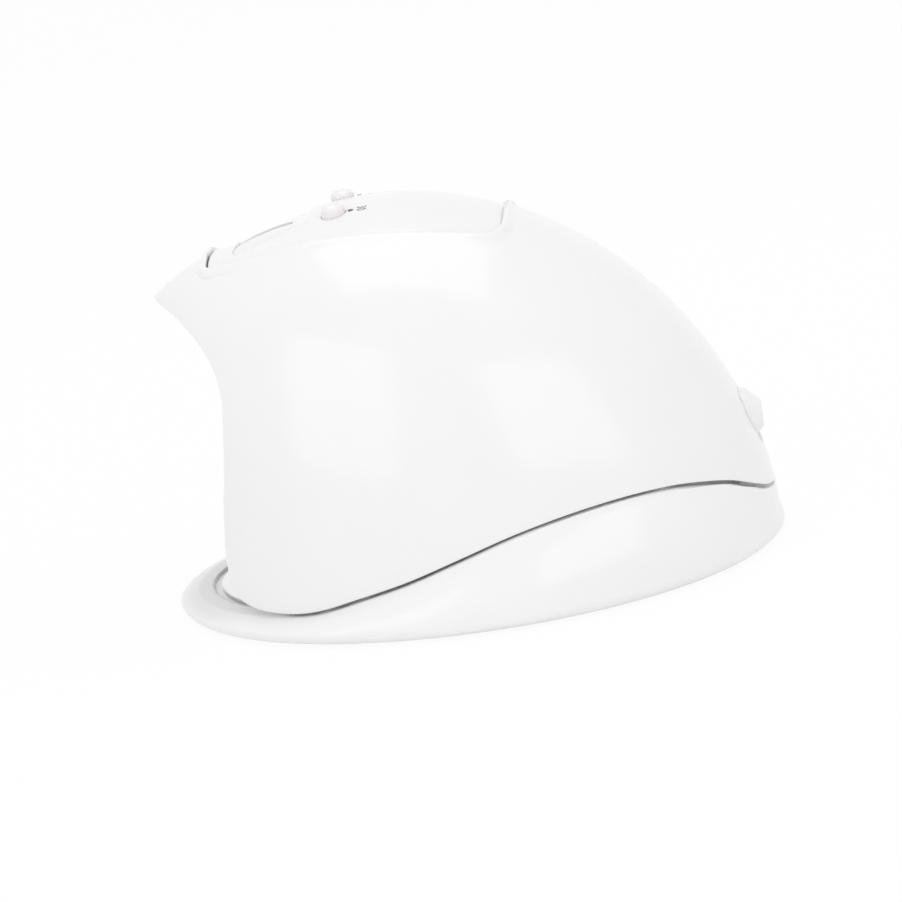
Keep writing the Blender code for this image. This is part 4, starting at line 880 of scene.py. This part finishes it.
def foot_form(tree, given):
    """A round pad whose lower edge is chamfered."""
    half = given.outputs["Half Height"]
    pad = add(tree, "GeometryNodeMeshCylinder", [(given.outputs["Radius"], "Radius"),
                                                 (half, "Depth")], in_Vertices=64)
    up = add(tree, "ShaderNodeMath", [(half, 0)], operation="MULTIPLY")
    up.inputs[1].default_value = 1.5
    lift = add(tree, "ShaderNodeCombineXYZ", [(up.outputs[0], "Z")])
    raised = add(tree, "GeometryNodeTransform", [(pad.outputs[0], "Geometry"),
                                                 (lift.outputs[0], "Translation")])
    sole = add(tree, "ShaderNodeMath", [(given.outputs["Radius"], 0), (half, 1)],
               operation="SUBTRACT")
    edge = add(tree, "GeometryNodeMeshCone", [(sole.outputs[0], "Radius Bottom"),
                                              (given.outputs["Radius"], "Radius Top"),
                                              (half, "Depth")], in_Vertices=64)
    both = add(tree, "GeometryNodeJoinGeometry", [(raised.outputs[0], 0), (edge.outputs[0], 0)])
    return both.outputs[0]


up_axis = Vector((0, 0, 1))
foot_seats = [(Vector((sx * 0.27 * BASE_WIDTH, sy * 0.33 * BASE_LENGTH, 0)), up_axis)
              for sx in (1, -1) for sy in (1, -1)]
RUBBER = finish("pale_rubber", (0.66, 0.66, 0.66), (0.76, 0.76, 0.76), (0.7, 0.9), 220, 0.4)
feet = scatter("rubber_feet", foot_seats, {"Radius": 0.0060, "Half Height": FOOT_HEIGHT / 2},
               foot_form, RUBBER)
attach(feet, "base")
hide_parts("foot_front_left", "foot_front_right", "foot_rear_left", "foot_rear_right")


def screw_form(tree, given):
    """A flat round head with a cross cut in it, and its shank."""
    head = add(tree, "GeometryNodeMeshCylinder", [
        (given.outputs["Head Radius"], "Radius"), (given.outputs["Head Height"], "Depth")],
        in_Vertices=40)
    arms = []
    for size in ((0.0030, 0.0006, 0.0010), (0.0006, 0.0030, 0.0010)):
        arm = add(tree, "GeometryNodeMeshCube")
        arm.inputs["Size"].default_value = size
        moved = add(tree, "GeometryNodeTransform", [(arm.outputs[0], "Geometry")])
        moved.inputs["Translation"].default_value = (0, 0, -0.0006)
        arms.append(moved)
    cross = add(tree, "GeometryNodeMeshBoolean", [
        (head.outputs[0], "Mesh 1"), (arms[0].outputs[0], "Mesh 2"),
        (arms[1].outputs[0], "Mesh 2")], operation="DIFFERENCE")
    shank = add(tree, "GeometryNodeMeshCylinder", [(given.outputs["Shank Radius"], "Radius")],
                in_Vertices=24, in_Depth=0.004)
    up = add(tree, "GeometryNodeTransform", [(shank.outputs[0], "Geometry")])
    up.inputs["Translation"].default_value = (0, 0, 0.0024)
    both = add(tree, "GeometryNodeJoinGeometry", [(cross.outputs[0], 0), (up.outputs[0], 0)])
    return both.outputs[0]


STEEL = finish("zinc_plating", (0.50, 0.50, 0.52), (0.66, 0.66, 0.68), (0.22, 0.4), 300, 0.05, 1.0)
HEAD_HEIGHT = 0.0012
CORNERS = ("front_left", "front_right", "rear_left", "rear_right")
screw_seats = []
for name in CORNERS:
    low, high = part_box(f"base_screw_{name}")
    screw_seats.append((Vector(((low[0] + high[0]) / 2, (low[1] + high[1]) / 2,
                                low[2] + HEAD_HEIGHT / 2)), up_axis))
screws = scatter("cover_screws", screw_seats, {"Head Radius": 0.0024, "Head Height": HEAD_HEIGHT,
                                               "Shank Radius": 0.0012}, screw_form, STEEL)
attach(screws, "base")
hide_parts(*[f"base_screw_{corner}" for corner in CORNERS])

# The cone-shaped boss at the back, a turned plastic bush, white like the shell, with a rounded
# mouth round its bore.

bush = place(turned("inlet_boss", [
    (0.0031, -0.0092), (0.0031, -0.0006), (0.0032, -0.00025), (0.0035, 0), (0.0041, 0),
    (0.0044, -0.0001), (0.0047, -0.0004), (0.0060, -0.0018), (0.0074, -0.0032), (0.0084, -0.0042),
    (0.0088, -0.0050), (0.0088, -0.0092), (0.0031, -0.0092)], 72), INLET_SEAT)
paint(bush, GLOSS)
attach(bush, "head")
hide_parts("inlet_bush")

# The mirror-bright plate that lies on the tray's floor, and the satin plastic cover that four
# screws hold under the tray, both with eased edges.


def oval_plate(name, half_x, half_y, centre_y, low, high, edge):
    """A flat oval plate with rounded edges."""
    columns = []
    for i in range(200):
        a = 2 * math.pi * i / 200
        column = []
        for inset, z in ((None, low), (edge, low), (edge * 0.3, low + edge * 0.3), (0, low + edge),
                         (0, high - edge), (edge * 0.3, high - edge * 0.3), (edge, high),
                         (None, high)):
            share = 0.02 if inset is None else 1
            drop = 0 if inset is None else inset
            column.append((math.cos(a) * (half_x - drop) * share,
                           centre_y + math.sin(a) * (half_y - drop) * share, z))
        columns.append(column)
    return grid_object(name, np.array(columns), False, True)


plate_inset = TRAY_WALL + CLEARANCE * 3
plate_low = TRAY_FLOOR + CLEARANCE
plate = oval_plate("floor_mirror", TRAY_WIDTH / 2 - plate_inset,
                   (TRAY_REAR - TRAY_FRONT) / 2 - plate_inset, (TRAY_FRONT + TRAY_REAR) / 2,
                   plate_low, plate_low + 0.001, 0.0002)
paint(plate, MIRROR)
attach(plate, "base")
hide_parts("reflector_plate")
SATIN = finish("white_satin_moulding", (0.80, 0.80, 0.80), (0.86, 0.86, 0.86), (0.35, 0.5), 90,
               0.15)
COVER_INSET = 0.0045
cover_low = FOOT_HEIGHT + CLEARANCE
cover = oval_plate("under_cover", BASE_WIDTH / 2 - COVER_INSET, BASE_LENGTH / 2 - COVER_INSET, 0,
                   cover_low, cover_low + 0.002, 0.0003)
sinks = [bar("sink", 0.0027, spot.x, spot.y, 0, cover_low + CLEARANCE + 0.00135, 40)
         for spot, _ in screw_seats]
cut_by(cover, *sinks)
paint(cover, SATIN)
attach(cover, "base")
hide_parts("base_cover")

# What keeps the CAD's own mesh: the boards, strips, switches, plungers, light pipes, sensors,
# magnets, inner screws, the display's module and the inlet's socket and pin. They are plated,
# lacquered or moulded in black, and get their finishes here.

PIPE = finish("unlit_light_pipe", (0.10, 0.10, 0.11), (0.20, 0.20, 0.21), (0.1, 0.2), 900, 0, 0,
              0.3)
BOARD = finish("board_lacquer", (0.02, 0.16, 0.07), (0.05, 0.27, 0.13), (0.3, 0.5), 160, 0.1)
STRIP = finish("strip_lacquer", (0.74, 0.75, 0.74), (0.82, 0.83, 0.82), (0.35, 0.5), 160, 0.05)
BLACK = finish("black_moulding", (0.02, 0.02, 0.02), (0.04, 0.04, 0.04), (0.3, 0.45), 150, 0.1)
NICKEL = finish("nickel_plating", (0.62, 0.62, 0.64), (0.76, 0.76, 0.78), (0.15, 0.3), 260, 0.03,
                1.0)

KEPT = (("light_pipe", PIPE), ("switch_plunger", MILKY), ("switch_", BLACK),
        ("display_module", BLACK),
        ("sensor", BLACK), ("inlet_socket", BLACK), ("inlet_pin", NICKEL), ("base_magnet", NICKEL),
        ("head_magnet", NICKEL), ("board_screw", STEEL), ("head_screw", STEEL),
        ("panel_board", BOARD),
        ("main_board", BOARD), ("led_strip", STRIP))
for name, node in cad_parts.items():
    obj = node if isinstance(node, bpy.types.Object) else bpy.data.objects.get(name)
    for start, material in KEPT:
        if name.startswith(start) and obj:
            for slot in obj.material_slots:
                slot.material = material
            break

# A white sweep that fades to the background and keeps the lamp's shadow, two large softboxes at
# the camera's side that show as soft panes on the gloss, and a pale sky all round.


def seen_ray(tree):
    """1 for rays from the camera and for those that gloss and glass send on."""
    path = tree.nodes.new("ShaderNodeLightPath")
    total = path.outputs["Is Camera Ray"]
    for kind in ("Is Glossy Ray", "Is Transmission Ray"):
        either = tree.nodes.new("ShaderNodeMath")
        either.operation = "MAXIMUM"
        tree.links.new(total, either.inputs[0])
        tree.links.new(path.outputs[kind], either.inputs[1])
        total = either.outputs[0]
    return total


def seen_white(material, share):
    """Adds plain white for what the camera and reflections see of a surface."""
    tree = material.node_tree
    shader = tree.nodes["Principled BSDF"]
    out = tree.nodes["Material Output"]
    glow = tree.nodes.new("ShaderNodeEmission")
    glow.inputs["Color"].default_value = (1, 1, 1, 1)
    scale = tree.nodes.new("ShaderNodeMath")
    scale.operation = "MULTIPLY"
    scale.inputs[1].default_value = share
    tree.links.new(seen_ray(tree), scale.inputs[0])
    mix = tree.nodes.new("ShaderNodeMixShader")
    tree.links.new(scale.outputs[0], mix.inputs["Fac"])
    tree.links.new(shader.outputs[0], mix.inputs[1])
    tree.links.new(glow.outputs[0], mix.inputs[2])
    tree.links.new(mix.outputs[0], out.inputs["Surface"])


floor_mesh = bpy.data.meshes.new("floor")
floor_mesh.from_pydata([(-4, -4, 0), (4, -4, 0), (4, 4, 0), (-4, 4, 0)], [], [(0, 1, 2, 3)])
floor = bpy.data.objects.new("floor", floor_mesh)
bpy.context.collection.objects.link(floor)
floor_paint = finish("floor_paint", (0.93, 0.93, 0.93), (0.95, 0.95, 0.95), (0.6, 0.7), 4, 0)
seen_white(floor_paint, 0.94)
floor.data.materials.append(floor_paint)

world = bpy.data.worlds.new("sky")
bpy.context.scene.world = world
world.use_nodes = True
sky = world.node_tree
sky.nodes.clear()
seen = sky.nodes.new("ShaderNodeBackground")
seen.inputs["Color"].default_value = (1, 1, 1, 1)
seen.inputs["Strength"].default_value = 1.0
soft = sky.nodes.new("ShaderNodeBackground")
soft.inputs["Color"].default_value = (1, 1, 1, 1)
soft.inputs["Strength"].default_value = 0.75
mix = sky.nodes.new("ShaderNodeMixShader")
sky_out = sky.nodes.new("ShaderNodeOutputWorld")
sky.links.new(seen_ray(sky), mix.inputs["Fac"])
sky.links.new(soft.outputs[0], mix.inputs[1])
sky.links.new(seen.outputs[0], mix.inputs[2])
sky.links.new(mix.outputs[0], sky_out.inputs["Surface"])

CAMERA_DISTANCE = 0.9449
AZIMUTH, ELEVATION, ROLL = math.radians(96), math.radians(13.4), math.radians(9.12)
TARGET = Vector((0, -0.00447, 0.03916))
back = Vector((math.sin(AZIMUTH) * math.cos(ELEVATION), -math.cos(AZIMUTH) * math.cos(ELEVATION),
               math.sin(ELEVATION)))
right = Vector((-back.y, back.x, 0)).normalized()
upward = back.cross(right)
rolled_right = right * math.cos(ROLL) - upward * math.sin(ROLL)
rolled_up = right * math.sin(ROLL) + upward * math.cos(ROLL)
camera = bpy.data.objects.new("camera", bpy.data.cameras.new("camera"))
camera.data.lens = 115.74
camera.data.sensor_width = 36
camera.data.clip_start = 0.01
camera.matrix_world = Matrix.Translation(TARGET + back * CAMERA_DISTANCE) @ Matrix(
    (rolled_right, rolled_up, back)).transposed().to_4x4()
bpy.context.collection.objects.link(camera)
bpy.context.scene.camera = camera


def softbox(name, spot, aim, size, power):
    """A rectangular area light that looks at a point."""
    data = bpy.data.lights.new(name, "AREA")
    data.shape = "RECTANGLE"
    data.size, data.size_y = size
    data.energy = power
    lamp = bpy.data.objects.new(name, data)
    lamp.matrix_world = Matrix.Translation(spot) @ (Vector(spot) - Vector(aim)).to_track_quat(
        "Z", "Y").to_matrix().to_4x4()
    bpy.context.collection.objects.link(lamp)


softbox("left_box", (1.35, -1.02, 0.70), (0, 0, 0.06), (1.15, 1.10), 3.3)
softbox("right_box", (1.39, 0.97, 0.70), (0, 0, 0.06), (1.25, 0.95), 3.3)
softbox("top_box", (0, 0, 1.9), (0, 0, 0), (1.6, 1.6), 8)
